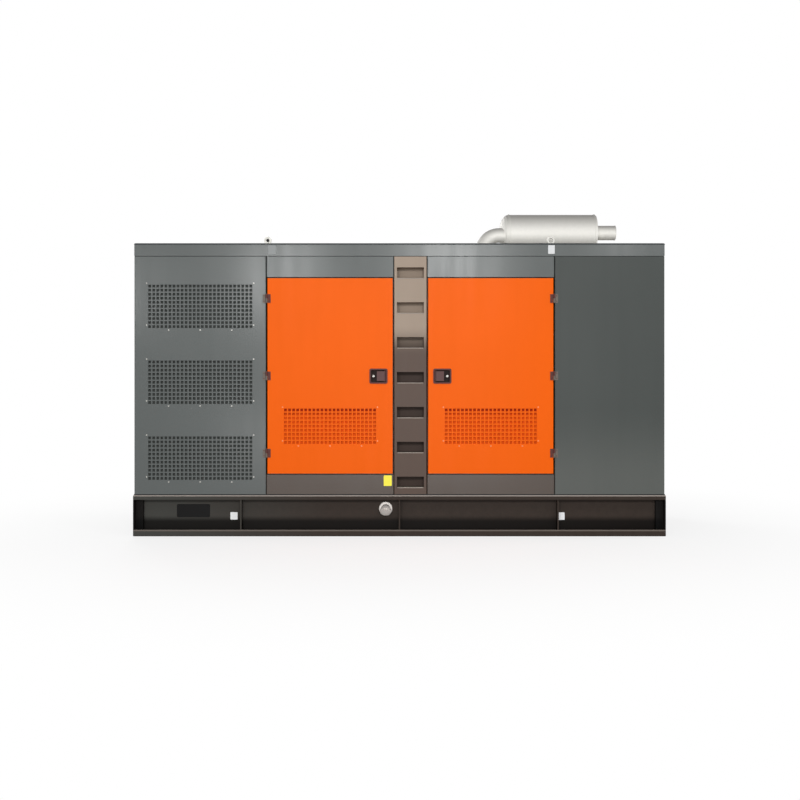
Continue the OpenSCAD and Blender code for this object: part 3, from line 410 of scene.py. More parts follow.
def start(name, **sockets):
    """New material with constant shader sockets set, its tree and Object coordinates."""
    material = bpy.data.materials.new(name)
    material.use_nodes = True
    tree = material.node_tree
    for label, value in sockets.items():
        tree.nodes["Principled BSDF"].inputs[label.replace("_", " ")].default_value = value
    return material, tree, add(tree, "ShaderNodeTexCoord").outputs["Object"]


def wire(material, patterns):
    """Links finished patterns to the shader of a material, and returns the material."""
    tree = material.node_tree
    for label, socket in patterns.items():
        tree.links.new(socket, tree.nodes["Principled BSDF"].inputs[label])
    return material


def shade(colour, factor):
    """A colour made darker or lighter, with an alpha."""
    return tuple(min(c * factor, 1) for c in colour) + (1,)


def paint_upward(tree, coat, code, least_up, full_up, most):
    """Paints what faces up with another colour: the painted colour, and how thickly it lies."""
    normal = add(tree, "ShaderNodeNewGeometry").outputs["Normal"]
    up = add(tree, "ShaderNodeSeparateXYZ", {"Vector": normal}).outputs["Z"]
    rise = {"Value": up, "From Min": least_up, "From Max": full_up, "To Max": most}
    thick = add(tree, "ShaderNodeMapRange", rise).outputs["Result"]
    covered = add(tree, "ShaderNodeMix", {0: thick, 6: coat, 7: linear(code) + (1,)}, data_type="RGBA")
    return covered.outputs[2], thick


def powder_coat(name, colour, gloss, shine=0.4, peel=1.0, foot=None):
    """Baked powder on folded steel: satin and nearly even, with rain marks, and dusty on what faces up, where the
    dust also paints highlights on upward folds and edges.

    A foot gives another tone, the height below which it is full and the height where it ends. The finishes use it
    for painted light and shade that change with height, and for dust on the door frames.
    """
    material, tree, place = start(name, IOR=1.5, Specular_IOR_Level=shine)
    # Film thickness drifts over patches of about 700 mm
    drift = add(tree, "ShaderNodeTexNoise", {"Vector": place, "Scale": 1000 / 700, "Detail": 3.0})
    coat = add(
        tree,
        "ShaderNodeMix",
        {0: drift.outputs["Fac"], 6: shade(colour, 0.92), 7: shade(colour, 1.08)},
        data_type="RGBA",
    )
    height = add(tree, "ShaderNodeSeparateXYZ", {"Vector": place}).outputs["Z"]
    tone, full_z, end_z = foot or (colour, *FOOT_HEIGHTS)
    low = add(
        tree,
        "ShaderNodeMapRange",
        {"Value": height, "From Min": full_z, "From Max": end_z, "To Min": 1.0, "To Max": 0.0},
        interpolation_type="SMOOTHSTEP",
    )
    footed = add(
        tree,
        "ShaderNodeMix",
        {0: low.outputs["Result"], 6: coat.outputs[2], 7: shade(tone, 1.0)},
        data_type="RGBA",
    )
    # Rain marks run down the walls, about 90 mm wide and ten times as tall
    tall = add(tree, "ShaderNodeMapping", {"Vector": place, "Scale": (1000 / 90, 1000 / 90, 1000 / 900)})
    marks = add(tree, "ShaderNodeTexNoise", {"Vector": tall.outputs["Vector"], "Scale": 1.0, "Detail": 4.0})
    faint = add(
        tree,
        "ShaderNodeMapRange",
        {"Value": marks.outputs["Fac"], "From Min": 0.45, "From Max": 0.75, "To Max": 0.05},
    )
    stained = add(
        tree,
        "ShaderNodeMix",
        {0: faint.outputs["Result"], 6: footed.outputs[2], 7: shade(colour, 0.6)},
        data_type="RGBA",
    )
    # Light dust on what faces up, which also paints highlights on upward folds and edges
    dust_and_highlight, upward_cover = paint_upward(tree, stained.outputs[2], "#A39C90", least_up=0.3, full_up=1.0, most=0.28)
    roughness = {"From Min": 0.3, "From Max": 0.7, "To Min": gloss - 0.02, "To Max": gloss + 0.04}
    matt = add(tree, "ShaderNodeMapRange", {"Value": marks.outputs["Fac"], **roughness})
    dulled = add(tree, "ShaderNodeMath", {0: matt.outputs["Result"], 1: upward_cover}, operation="ADD")
    # Orange peel of 2 to 3 mm, drawn 9 mm wide so that it shows
    skin = add(tree, "ShaderNodeTexNoise", {"Vector": place, "Scale": 1000 / 9, "Detail": 2.0})
    relief = {"Height": skin.outputs["Fac"], "Strength": 0.05 * peel, "Distance": 0.001}
    bump = add(tree, "ShaderNodeBump", relief)
    return wire(
        material, {"Base Color": dust_and_highlight, "Roughness": dulled.outputs[0], "Normal": bump.outputs["Normal"]}
    )


def chassis_paint(name, colour, edges=(), drawn=None):
    """Air-dried paint on hot-rolled channel: satin and scaly, with painted shade low on the webs, and light dust
    on its ledges that also paints highlights on the round folds.

    Edges are (height, hex colour) pairs of painted highlights along the lips' top edges, and drawn is the greyer
    tone towards the air inlet's end.
    """
    grey_x, brown_x = -1.7, -0.5
    lip_depth, highlight_half = 0.012, 0.0035
    web_shade_z, web_lit_z = 0.095, 0.145
    material, tree, place = start(name, IOR=1.5, Specular_IOR_Level=0.06)
    # Mill scale under the paint, in patches of about 40 mm
    grit = {"Vector": place, "Scale": 1000 / 40, "Detail": 5.0, "Roughness": 0.6}
    scale = add(tree, "ShaderNodeTexNoise", grit)
    coat = add(
        tree,
        "ShaderNodeMix",
        {0: scale.outputs["Fac"], 6: shade(colour, 0.8), 7: shade(colour, 1.25)},
        data_type="RGBA",
    )
    axes = add(tree, "ShaderNodeSeparateXYZ", {"Vector": place}).outputs
    # Greyer towards the air inlet's end
    inlet = add(
        tree,
        "ShaderNodeMapRange",
        {"Value": axes["X"], "From Min": grey_x, "From Max": brown_x, "To Min": 0.6, "To Max": 0.0},
    )
    greyed = add(
        tree,
        "ShaderNodeMix",
        {0: inlet.outputs["Result"], 6: coat.outputs[2], 7: shade(drawn or colour, 1.0)},
        data_type="RGBA",
    )
    # The lips stand out from the webs behind them
    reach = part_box("front_rail")[0]
    outer = 0
    for axis, face in (("X", -reach.x), ("Y", -reach.y)):
        far = add(tree, "ShaderNodeMath", {0: axes[axis]}, operation="ABSOLUTE").outputs[0]
        past = add(tree, "ShaderNodeMath", {0: far, 1: face - lip_depth}, operation="GREATER_THAN").outputs[0]
        outer = add(tree, "ShaderNodeMath", {0: past, 1: outer}, operation="MAXIMUM").outputs[0]
    # Painted shade: the webs behind the lips darken towards the bottom, where the channel shades them
    low = add(
        tree,
        "ShaderNodeMapRange",
        {"Value": axes["Z"], "From Min": web_shade_z, "From Max": web_lit_z, "To Min": 0.9, "To Max": 0.0},
        interpolation_type="SMOOTHSTEP",
    )
    inner = add(tree, "ShaderNodeMath", {0: 1.0, 1: outer}, operation="SUBTRACT")
    deep = add(tree, "ShaderNodeMath", {0: low.outputs["Result"], 1: inner.outputs[0]}, operation="MULTIPLY")
    shade_and_highlights = add(
        tree,
        "ShaderNodeMix",
        {0: deep.outputs[0], 6: greyed.outputs[2], 7: shade(colour, 0.06)},
        data_type="RGBA",
    )
    # Painted highlights along the lips' top edges, over about 7 mm
    for level, tone in edges:
        band = {0: axes["Z"], 1: level, 2: highlight_half}
        near = add(tree, "ShaderNodeMath", band, operation="COMPARE").outputs[0]
        bare = add(tree, "ShaderNodeMath", {0: near, 1: outer}, operation="MULTIPLY").outputs[0]
        shade_and_highlights = add(
            tree, "ShaderNodeMix", {0: bare, 6: shade_and_highlights.outputs[2], 7: linear(tone) + (1,)}, data_type="RGBA"
        )
    # Light dust on the ledges, which also paints the highlight on the rails' round folds
    dust_and_highlight, _ = paint_upward(tree, shade_and_highlights.outputs[2], "#A0958D", least_up=0.2, full_up=0.9, most=0.5)
    matt = add(tree, "ShaderNodeMapRange", {"Value": scale.outputs["Fac"], "To Min": 0.36, "To Max": 0.6})
    bump = add(tree, "ShaderNodeBump", {"Height": scale.outputs["Fac"], "Strength": 0.1, "Distance": 0.002})
    return wire(
        material,
        {"Base Color": dust_and_highlight, "Roughness": matt.outputs["Result"], "Normal": bump.outputs["Normal"]},
    )


def bare_metal(name, colour, gloss, grain, stretch, contrast, metallic, top_shade=0.0):
    """Plated or coated steel: its grain, in millimetres and stretched along an axis, breaks its shine."""
    material, tree, place = start(name, Metallic=metallic)
    lay = tuple(1000 / (grain * s) for s in stretch)
    along = add(tree, "ShaderNodeMapping", {"Vector": place, "Scale": lay}).outputs["Vector"]
    streaks = add(tree, "ShaderNodeTexNoise", {"Vector": along, "Scale": 1.0, "Detail": 4.0})
    # Crystals of the coating, about 14 mm across
    crystals = add(tree, "ShaderNodeTexVoronoi", {"Vector": place, "Scale": 1000 / 14})
    mixed = add(
        tree,
        "ShaderNodeMix",
        {0: 0.4, 2: streaks.outputs["Fac"], 3: crystals.outputs["Color"]},
        data_type="FLOAT",
    )
    tone = add(
        tree,
        "ShaderNodeMix",
        {0: mixed.outputs[0], 6: shade(colour, 1 - contrast), 7: shade(colour, 1 + contrast)},
        data_type="RGBA",
    )
    # Painted shade: what faces up is darkened, as on the silencer's upper side
    shaded, _ = paint_upward(tree, tone.outputs[2], "#3F3B36", least_up=-0.2, full_up=1.0, most=top_shade)
    roughness = {"Value": mixed.outputs[0], "To Min": gloss - 0.08, "To Max": gloss + 0.1}
    matt = add(tree, "ShaderNodeMapRange", roughness)
    relief = {"Height": streaks.outputs["Fac"], "Strength": 0.06, "Distance": 0.0005}
    bump = add(tree, "ShaderNodeBump", relief)
    return wire(
        material,
        {"Base Color": shaded, "Roughness": matt.outputs["Result"], "Normal": bump.outputs["Normal"]},
    )


def radiator_black(name, colour):
    """Stoved black over a finned core: matt, with the fins' fine upright lines."""
    material, tree, place = start(name, IOR=1.5, Specular_IOR_Level=0.4)
    # Fins 3 mm apart, drawn 18 mm apart so that they show. A wave turns 20 radians in a unit of its scale
    pattern = {"Vector": place, "Scale": 2 * math.pi / 20 * 1000 / 18, "Distortion": 0.4}
    fins = add(tree, "ShaderNodeTexWave", pattern, bands_direction="Y").outputs["Fac"]
    tones = {0: fins, 6: shade(colour, 0.7), 7: shade(colour, 1.3)}
    coat = add(tree, "ShaderNodeMix", tones, data_type="RGBA")
    matt = add(tree, "ShaderNodeMapRange", {"Value": fins, "To Min": 0.5, "To Max": 0.7})
    return wire(material, {"Base Color": coat.outputs[2], "Roughness": matt.outputs["Result"]})


def cellular_rubber(name, colour):
    """Extruded sponge rubber: matt, with a skin of fine closed cells."""
    material, tree, place = start(name, IOR=1.52, Specular_IOR_Level=0.35)
    # Cells under 1 mm, drawn 3 mm wide so that they show
    pattern = {"Vector": place, "Scale": 1000 / 3, "Detail": 2.0}
    cells = add(tree, "ShaderNodeTexNoise", pattern).outputs["Fac"]
    tones = {0: cells, 6: shade(colour, 0.8), 7: shade(colour, 1.3)}
    tone = add(tree, "ShaderNodeMix", tones, data_type="RGBA")
    matt = add(tree, "ShaderNodeMapRange", {"Value": cells, "To Min": 0.72, "To Max": 0.9})
    return wire(material, {"Base Color": tone.outputs[2], "Roughness": matt.outputs["Result"]})


def perforated_lining(name, colour):
    """Galvanised sheet with rows of small round holes over dark wool: grey with a fine grid of dark dots."""
    # Holes 8 mm apart, drawn 24 mm apart so that they show
    pitch = 0.024
    material, tree, place = start(name, IOR=1.5)
    axes = add(tree, "ShaderNodeSeparateXYZ", {"Vector": place}).outputs
    waves = []
    for axis in ("X", "Z"):
        phase = add(tree, "ShaderNodeMath", {0: axes[axis], 1: 2 * math.pi / pitch}, operation="MULTIPLY")
        waves.append(add(tree, "ShaderNodeMath", {0: phase.outputs[0]}, operation="COSINE").outputs[0])
    both = add(tree, "ShaderNodeMath", {0: waves[0], 1: waves[1]}, operation="ADD").outputs[0]
    dots = {"Value": both, "From Min": 0.75, "From Max": 1.0, "To Max": 1.0}
    holes = add(tree, "ShaderNodeMapRange", dots).outputs["Result"]
    # Spangles of the zinc, about 18 mm across
    spangle = add(tree, "ShaderNodeTexVoronoi", {"Vector": place, "Scale": 1000 / 18}).outputs["Distance"]
    sheet = add(
        tree,
        "ShaderNodeMix",
        {0: spangle, 6: shade(colour, 0.85), 7: shade(colour, 1.15)},
        data_type="RGBA",
    )
    face = add(
        tree, "ShaderNodeMix", {0: holes, 6: sheet.outputs[2], 7: linear("#1C1B1A") + (1,)}, data_type="RGBA"
    )
    metal = add(tree, "ShaderNodeMapRange", {"Value": holes, "To Min": 0.85, "To Max": 0.0})
    matt = add(tree, "ShaderNodeMapRange", {"Value": spangle, "To Min": 0.4, "To Max": 0.55})
    return wire(
        material,
        {
            "Base Color": face.outputs[2],
            "Metallic": metal.outputs["Result"],
            "Roughness": matt.outputs["Result"],
        },
    )


def satin_plate(name, colour, shine=0.5):
    """Film or anodised sheet without print: smooth and even, with light rub marks along its length."""
    material, tree, place = start(name, IOR=1.5, Specular_IOR_Level=shine)
    # Rub marks about 2 mm apart, drawn 5 mm apart so that they show
    rub = add(tree, "ShaderNodeMapping", {"Vector": place, "Scale": (1000 / 60, 1000 / 60, 1000 / 5)})
    pattern = {"Vector": rub.outputs["Vector"], "Scale": 1.0, "Detail": 3.0}
    marks = add(tree, "ShaderNodeTexNoise", pattern).outputs["Fac"]
    tones = {0: marks, 6: shade(colour, 0.92), 7: shade(colour, 1.06)}
    tone = add(tree, "ShaderNodeMix", tones, data_type="RGBA")
    matt = add(tree, "ShaderNodeMapRange", {"Value": marks, "To Min": 0.3, "To Max": 0.5})
    return wire(material, {"Base Color": tone.outputs[2], "Roughness": matt.outputs["Result"]})


FINISHES = {}


def make_finishes(colours):
    """Makes every finish once, under the name that the pieces use."""
    FINISHES.update(
        canopy_paint=powder_coat("powder_coated_steel_grey", colours.canopy, gloss=0.2, shine=0.175),
        # Plain panels: a darker copy of the canopy coat as painted shade, with painted bounced light at their foot
        plain_paint=powder_coat(
            "powder_coated_steel_dark_grey",
            colours.plain,
            gloss=0.45,
            shine=0.15,
            foot=(colours.plain_bounce_light, 0.35, 0.95),
        ),
        # Column: painted highlight and reflection above, painted shade below
        column_paint=powder_coat(
            "powder_coated_steel_warm_grey",
            colours.column,
            gloss=0.45,
            shine=0.15,
            foot=(colours.column_shade, 1.3, 1.52),
        ),
        # Foot pockets: painted highlight and reflection above, painted shade below
        pocket_paint=powder_coat(
            "powder_coated_steel_pocket_shade_grey",
            colours.column,
            gloss=0.5,
            shine=0.1,
            foot=(colours.pocket_shade, 1.3, 1.52),
        ),
        # Painted shade seen through the punched plates
        baffle_paint=powder_coat("powder_coated_baffle_grey", colours.baffle, gloss=0.6, shine=0.1),
        # Door trays: painted shade, with a painted shadow above 0.9 m
        door_baffle_paint=powder_coat(
            "powder_coated_baffle_orange",
            colours.baffle_top_shadow,
            gloss=0.6,
            shine=0.05,
            foot=(colours.door_baffle, 0.86, 0.9),
        ),
        # Door frames: dust with painted reflection and painted shade at their foot
        frame_paint=powder_coat(
            "powder_coated_steel_dusty_grey",
            colours.canopy,
            gloss=0.2,
            shine=0.15,
            foot=(colours.dust, *FOOT_HEIGHTS),
        ),
        # Painted shade in the rail ends
        recess_paint=chassis_paint("chassis_black_painted_shade", colours.recess),
        door_paint=powder_coat("powder_coated_steel_orange", colours.door, gloss=0.32, shine=0.04),
        # The edge bands are painted highlights along the lips' top edges
        base_paint=chassis_paint(
            "chassis_black_paint",
            colours.base,
            edges=((0.0415, "#6C645D"), (0.2915, "#A9A099")),
            drawn=colours.base_inlet_grey,
        ),
        dark_zinc=powder_coat("powder_coated_zinc_casting", colours.fitting, gloss=0.45, shine=0.1, peel=2.0),
        paddle_coat=powder_coat("rubbed_powder_coat", colours.paddle, gloss=0.45, shine=0.12, peel=1.5),
        # Painted highlight on the pockets' nosings
        nosing_steel=powder_coat("nosing_painted_highlight", colours.nosing, gloss=0.35),
        leaf_coat=powder_coat("powder_coated_hinge_steel", colours.leaf, gloss=0.45, shine=0.3),
        zinc_steel=bare_metal(
            "bright_zinc_plated_steel",
            colours.zinc,
            gloss=0.4,
            grain=6,
            stretch=(1, 1, 1),
            contrast=0.08,
            metallic=0.6,
        ),
        galvanised_iron=bare_metal(
            "hot_dip_galvanised_iron",
            colours.galvanised,
            gloss=0.45,
            grain=9,
            stretch=(1, 1, 1),
            contrast=0.14,
            metallic=0.3,
        ),
        # The silencer's darker upper side is painted shade
        aluminised_steel=bare_metal(
            "aluminised_steel",
            colours.exhaust,
            gloss=0.6,
            grain=4,
            stretch=(1, 40, 40),
            contrast=0.06,
            metallic=0.15,
            top_shade=0.85,
        ),
        machine_paint=powder_coat("brushed_machine_enamel", colours.machine, gloss=0.3, peel=2.5),
        radiator_black=radiator_black("stoved_radiator_black", colours.radiator),
        door_screw_coat=powder_coat("rubbed_screw_coat", colours.door_screw, gloss=0.35),
        seal=cellular_rubber("cellular_rubber", colours.seal),
        # Painted shade in the latch dishes
        dish_mat=cellular_rubber("dish_shade_rubber", colours.dish),
        # Painted dark reflection along the roof's upper edge
        trim=cellular_rubber("roof_edge_shade_rubber", colours.trim),
        lining=perforated_lining("perforated_galvanised_sheet", colours.galvanised),
        white_plate=satin_plate("white_polyester_film", colours.white_plate),
        pale_plate=satin_plate("pale_polyester_film", colours.pale_plate),
        yellow_plate=satin_plate("yellow_polyester_film", colours.yellow_plate),
        grey_plate=satin_plate("grey_polyester_film", colours.grey_plate),
        dark_plate=satin_plate("black_anodised_aluminium", colours.dark_plate, shine=0.1),
    )


# Operators


class GENSET_OT_paint(bpy.types.Operator):
    """Give every CAD node the finish of its material slot, or of its own batch"""

    bl_idname = "genset.paint"
    bl_label = "Paint the Solids"

    def execute(self, context):
        make_finishes(context.scene.genset_colours)
        slots = {part["node"]: part["material_slot"] for part in frame["record"]["subparts"]}
        batches = {
            "front_plain_panel": "plain_paint",
            "rear_plain_panel": "plain_paint",
            "ladder_column": "column_paint",
            "foot_pockets": "pocket_paint",
            "air_baffles": "baffle_paint",
            "left_door_baffle": "door_baffle_paint",
            "right_door_baffle": "door_baffle_paint",
            "front_door_frames": "frame_paint",
            "rear_door_frames": "frame_paint",
            # Near-black coat: painted shade in the rail ends
            "corner_posts": "recess_paint",
            "left_paddle": "paddle_coat",
            "right_paddle": "paddle_coat",
            "frame_hinges": "leaf_coat",
            "rear_hinges": "leaf_coat",
        }
        for name, node in frame["nodes"].items():
            node.data.materials.clear()
            node.data.materials.append(FINISHES[batches.get(name, slots[name])])
        return {"FINISHED"}


class GENSET_OT_rolled_edges(bpy.types.Operator):
    """Round the edges of the folded channels of the base"""

    bl_idname = "genset.rolled_edges"
    bl_label = "Rolled Edges"

    def execute(self, context):
        for name in ("front_rail", "rear_rail", "end_beams"):
            node = frame["nodes"][name]
            weld = node.modifiers.new("Weld", "WELD")
            weld.merge_threshold = 1e-5
            bevel = node.modifiers.new("Bevel", "BEVEL")
            bevel.limit_method = "ANGLE"
            bevel.angle_limit = math.radians(40)
            bevel.width = context.scene.genset_sizes.rolled_edge
            bevel.segments = 2
        return {"FINISHED"}


class GENSET_OT_grille_screws(bpy.types.Operator):
    """Fix the punched plates and the end walls with washered screws"""

    bl_idname = "genset.grille_screws"
    bl_label = "Grille Screws"

    def execute(self, context):
        sizes = context.scene.genset_sizes
        front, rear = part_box("front_inlet_panel")[0].y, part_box("rear_inlet_panel")[1].y
        walls = []
        for level in ("top", "middle", "bottom"):
            walls += self.around(sizes, "front_mesh_" + level, front, AHEAD)
            walls += self.around(sizes, "rear_mesh_" + level, rear, BEHIND)
        doors = {side: self.around(sizes, side + "_door_grille", front, AHEAD) for side, _ in SIDES}
        for spots in doors.values():
            walls += [((x, rear, z), BEHIND) for (x, _, z), _ in spots]
        walls += self.end_walls(sizes)
        head = (sizes.screw_radius, sizes.screw_height)
        washer = (sizes.screw_washer, sizes.washer_height)
        sides = 12
        fasten("wall_screws", "root", walls, head, washer, sides, "zinc_steel", "zinc_steel")
        for side, spots in doors.items():
            name = side + "_grille_screws"
            fasten(name, side + "_door", spots, head, washer, sides, "door_screw_coat", "door_paint")
        return {"FINISHED"}

    def around(self, sizes, node, face, normal):
        """Places around one punched plate: two at each side and three under its opening."""
        low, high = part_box(node)
        middle = (low.x + high.x) / 2
        reach = (high.x - low.x) / 2 - sizes.plate_margin + sizes.screw_side
        top = high.z - sizes.plate_margin + sizes.screw_side
        bottom = low.z + sizes.plate_margin
        spots = [(middle + s * reach, face, z) for s in (-1, 1) for z in (top, bottom + sizes.screw_lift)]
        spots += [(middle + i * sizes.screw_pitch, face, bottom - sizes.screw_under) for i in (-1, 0, 1)]
        return [(spot, normal) for spot in spots]

    def end_walls(self, sizes):
        """Places in two upright rows of six on each end wall."""
        per_row, spots = 6, []
        for node, end, way in (("left_end_wall", 0, -1), ("right_end_wall", 1, 1)):
            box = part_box(node)
            low, high = box
            step = (high.z - low.z - 2 * sizes.end_margin) / (per_row - 1)
            levels = [low.z + sizes.end_margin + i * step for i in range(per_row)]
            for y in (low.y + sizes.end_margin, high.y - sizes.end_margin):
                spots += [((box[end].x, y, z), (way, 0, 0)) for z in levels]
        return spots


class GENSET_OT_hinge_screws(bpy.types.Operator):
    """Fix the hinge leaves with two countersunk screws each"""

    bl_idname = "genset.hinge_screws"
    bl_label = "Hinge Screws"

    def execute(self, context):
        radius = context.scene.genset_sizes.hinge_screw
        screw = {"head": (radius, 0.0006), "washer": (radius * 1.15, 0.0004), "sides": 10}
        coat = {"finish": "dark_zinc", "slot": "dark_zinc"}
        screw_out, screw_rise = 0.0188, 0.019
        leaf_half, leaf_sunk = 0.031, 0.006
        on_frame = []
        for side, turn in SIDES:
            axis = JOINTS[side + "_door_hinge"]
            low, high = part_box(side + "_door_hinges")
            face = axis.y + leaf_sunk
            on_door = []
            for level in (low.z + leaf_half, axis.z, high.z - leaf_half):
                for z in (level - screw_rise, level + screw_rise):
                    on_door.append(((axis.x + turn * screw_out, face, z), AHEAD))
                    on_frame.append(((axis.x - turn * screw_out, face, z), AHEAD))
                    on_frame += [((axis.x + s * screw_out, -face, z), BEHIND) for s in (-1, 1)]
            fasten(side + "_hinge_screws", side + "_door", on_door, **screw, **coat)
        fasten("frame_hinge_screws", "root", on_frame, **screw, **coat)
        return {"FINISHED"}


class GENSET_OT_key_barrels(bpy.types.Operator):
    """Set a plated key barrel with its slot in every latch"""

    bl_idname = "genset.key_barrels"
    bl_label = "Key Barrels"

    def execute(self, context):
        from_pivot, sunk = 0.082, 0.0035
        for side, turn in SIDES:
            pivot = JOINTS[side + "_paddle_pivot"]
            x, z = pivot.x - turn * from_pivot, pivot.z
            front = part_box(side + "_latch")[0].y + sunk
            for name, body, place in (
                (side + "_key_barrel", side + "_door", facing((x, front, z), AHEAD)),
                (side + "_rear_key_barrel", "root", facing((x, -front, z), BEHIND)),
            ):
                mesh = mesh_of(name, lambda bm: self.barrel(bm, place))
                fit(name, mesh, body, FINISHES["zinc_steel"])
        return {"FINISHED"}

    def barrel(self, bm, place):
        """Stepped barrel face with a bevelled rim, and two cheeks that leave the key slot between them."""
        rim, shoulder, bowl, floor = 0.0088, 0.0080, 0.0064, 0.0060
        foot, edge, top, sunk = -0.0005, 0.0010, 0.0018, 0.0012
        profile = [(0, foot), (rim, foot), (rim, edge), (shoulder, top)]
        profile += [(bowl, top), (floor, sunk), (0, sunk)]
        revolve(bm, profile, place, steps=28)
        cheek_width, cheek_height, cheek_corner, cheek_out = 0.0034, 0.0082, 0.0012, 0.0026
        layers = [(0.0010, 0), (0.0017, 0), (0.0020, 0.0003)]
        for s in (-1, 1):
            aside = place @ Matrix.Translation((s * cheek_out, 0, 0))
            slab(bm, cheek_width, cheek_height, cheek_corner, layers, aside, steps=3)


class GENSET_OT_plates(bpy.types.Operator):
    """Fix the bare plates to the roof, the sill and the base"""

    bl_idname = "genset.plates"
    bl_label = "Bare Plates"

    def execute(self, context):
        depth = context.scene.genset_sizes.plate_depth
        layers = [(-0.0002, 0), (depth * 0.7, 0), (depth, depth * 0.4)]
        roof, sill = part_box("roof")[0].y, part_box("front_door_frames")[0].y
        rail_plate = 0.008
        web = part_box("front_rail")[1].y - rail_plate
        dark_x, dark_z = -1.490, 0.176
        for name, finish, spot, width, height, corner in (
            ("left_roof_plate", "grey_plate", (-0.913, roof, 2.055), 0.054, 0.062, 0.004),
            ("right_roof_plate", "pale_plate", (1.089, roof, 2.055), 0.048, 0.062, 0.004),
            ("sill_plate", "yellow_plate", (-0.084, sill, 0.399), 0.058, 0.076, 0.006),
            ("left_base_plate", "white_plate", (-1.197, web, 0.138), 0.052, 0.054, 0.003),
            ("right_base_plate", "white_plate", (1.170, web, 0.136), 0.050, 0.054, 0.003),
            ("dark_base_plate", "dark_plate", (dark_x, web, dark_z), 0.240, 0.095, 0.010),
        ):
            place = facing(spot, AHEAD)
            mesh = mesh_of(name, lambda bm: slab(bm, width, height, corner, layers, place))
            fit(name, mesh, "root", FINISHES[finish])
        rivet_x, rivet_z = 0.108, 0.036
        face = web - depth
        rivets = [
            ((dark_x + sx * rivet_x, face, dark_z + sz * rivet_z), AHEAD) for sx in (-1, 1) for sz in (-1, 1)
        ]
        rivet = {"head": (0.0035, 0.0016), "washer": (0.0045, 0.0004), "sides": 10}
        fasten("plate_rivets", "root", rivets, **rivet, finish="dark_plate")
        return {"FINISHED"}


class GENSET_OT_door_seals(bpy.types.Operator):
    """Run a rubber seal around every stop frame"""

    bl_idname = "genset.door_seals"
    bl_label = "Door Seals"

    def execute(self, context):
        radius = context.scene.genset_sizes.seal_radius
        tree = seal_tree()
        outside, corner, stop_depth = 0.016, 0.012, 0.003
        for side, _ in SIDES:
            low, high = OPENINGS[side + "_front_doorway"]
            centre = (low + high) / 2
            level = low.y + stop_depth - radius
            for end, sign in (("front", 1), ("rear", -1)):
                name = f"{side}_{end}_seal"
                values = {
                    "Width": high.x - low.x + 2 * outside,
                    "Height": high.z - low.z + 2 * outside,
                    "Corner": corner,
                    "Cord Radius": radius,
                    "Centre": (centre.x, sign * level, centre.z),
                    "Finish": FINISHES["seal"],
                }
                fit(name, grow(name, bpy.data.meshes.new(name), tree, values), "root")
        return {"FINISHED"}


class GENSET_OT_door_linings(bpy.types.Operator):
    """Line the doors with perforated trays above, beside and below their fittings"""

    bl_idname = "genset.door_linings"
    bl_label = "Door Linings"

    def execute(self, context):
        depth = context.scene.genset_sizes.lining_depth
        skin, gap, corner = 0.003, 0.008, 0.012
        layers = [(0, 0), (depth - 0.003, 0), (depth - 0.001, 0.001), (depth, 0.003)]
        for side, turn in SIDES:
            low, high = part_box(side + "_door")
            latch_low, latch_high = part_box(side + "_latch")
            baffle_low, baffle_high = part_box(side + "_door_baffle")
            left, right = low.x + skin + gap, high.x - skin - gap
            free = (left, latch_low.x - gap) if turn > 0 else (latch_high.x + gap, right)
            fields = [
                (left, right, latch_high.z + gap, high.z - skin - gap),
                (*free, baffle_high.z + gap, latch_high.z - gap),
                (left, right, low.z + skin + gap, baffle_low.z - gap),
            ]

            def trays(bm):
                for x0, x1, z0, z1 in fields:
                    place = facing(((x0 + x1) / 2, low.y + skin, (z0 + z1) / 2), BEHIND)
                    slab(bm, x1 - x0, z1 - z0, corner, layers, place)

            name = side + "_door_lining"
            fit(name, mesh_of(name, trays), side + "_door", FINISHES["lining"])
        return {"FINISHED"}


class GENSET_OT_edge_strips(bpy.types.Operator):
    """Clip a dark rubber strip on the roof's upper edge as a painted dark reflection, lay one under the roof, and
    lay one under the walls as a painted shadow gap
    """

    bl_idname = "genset.edge_strips"
    bl_label = "Edge Strips"

    def execute(self, context):
        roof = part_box("roof")[1]
        roof_top, wall_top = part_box("lifting_eyes")[0].z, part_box("front_inlet_panel")[1].z
        wall_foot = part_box("front_rail")[1].z
        # Painted dark reflection: the strip along the roof's upper edge
        clip = [(0.0012, -0.010), (0.0018, -0.0085), (0.0016, -0.0052), (-0.002, -0.0012), (-0.006, 0.0012)]
        clip += [(-0.010, 0.0010), (-0.012, -0.0005), (-0.004, -0.008)]
        cord = [(-0.0064, 0.0003), (-0.0034, 0.0003), (-0.0028, 0.002), (-0.0034, 0.0037), (-0.0064, 0.0037)]
        # Painted shadow gap: a black strip under the walls, where the canopy shades the base's top
        shadow_gap_section = [(0.0004, 0), (0.0022, 0), (0.0028, 0.002), (0.0026, 0.005)]
        shadow_gap_section += [(0.0018, 0.0065), (0.0004, 0.007)]
        for name, section, level, finish in (
            ("roof_edge_shade_strip", clip, roof_top, "trim"),
            ("roof_seam_strip", cord, wall_top, "seal"),
            ("wall_foot_shadow_strip", shadow_gap_section, wall_foot, "seal"),
        ):
            mesh = mesh_of(name, lambda bm: self.strip(bm, roof, section, level))
            fit(name, mesh, "root", FINISHES[finish])
        return {"FINISHED"}

    def strip(self, bm, corner, section, level):
        """Closed loop of one section around the canopy, given as (outwards, upwards) pairs from its walls."""
        loops = []
        for out, rise in section:
            x, y, z = corner.x + out, corner.y + out, level + rise
            loops.append([bm.verts.new((sx * x, sy * y, z)) for sx, sy in CORNERS])
        for inner, outer in zip(loops, loops[1:] + loops[:1]):
            for i in range(len(CORNERS)):
                j = (i + 1) % len(CORNERS)
                bm.faces.new((inner[i], inner[j], outer[j], outer[i]))


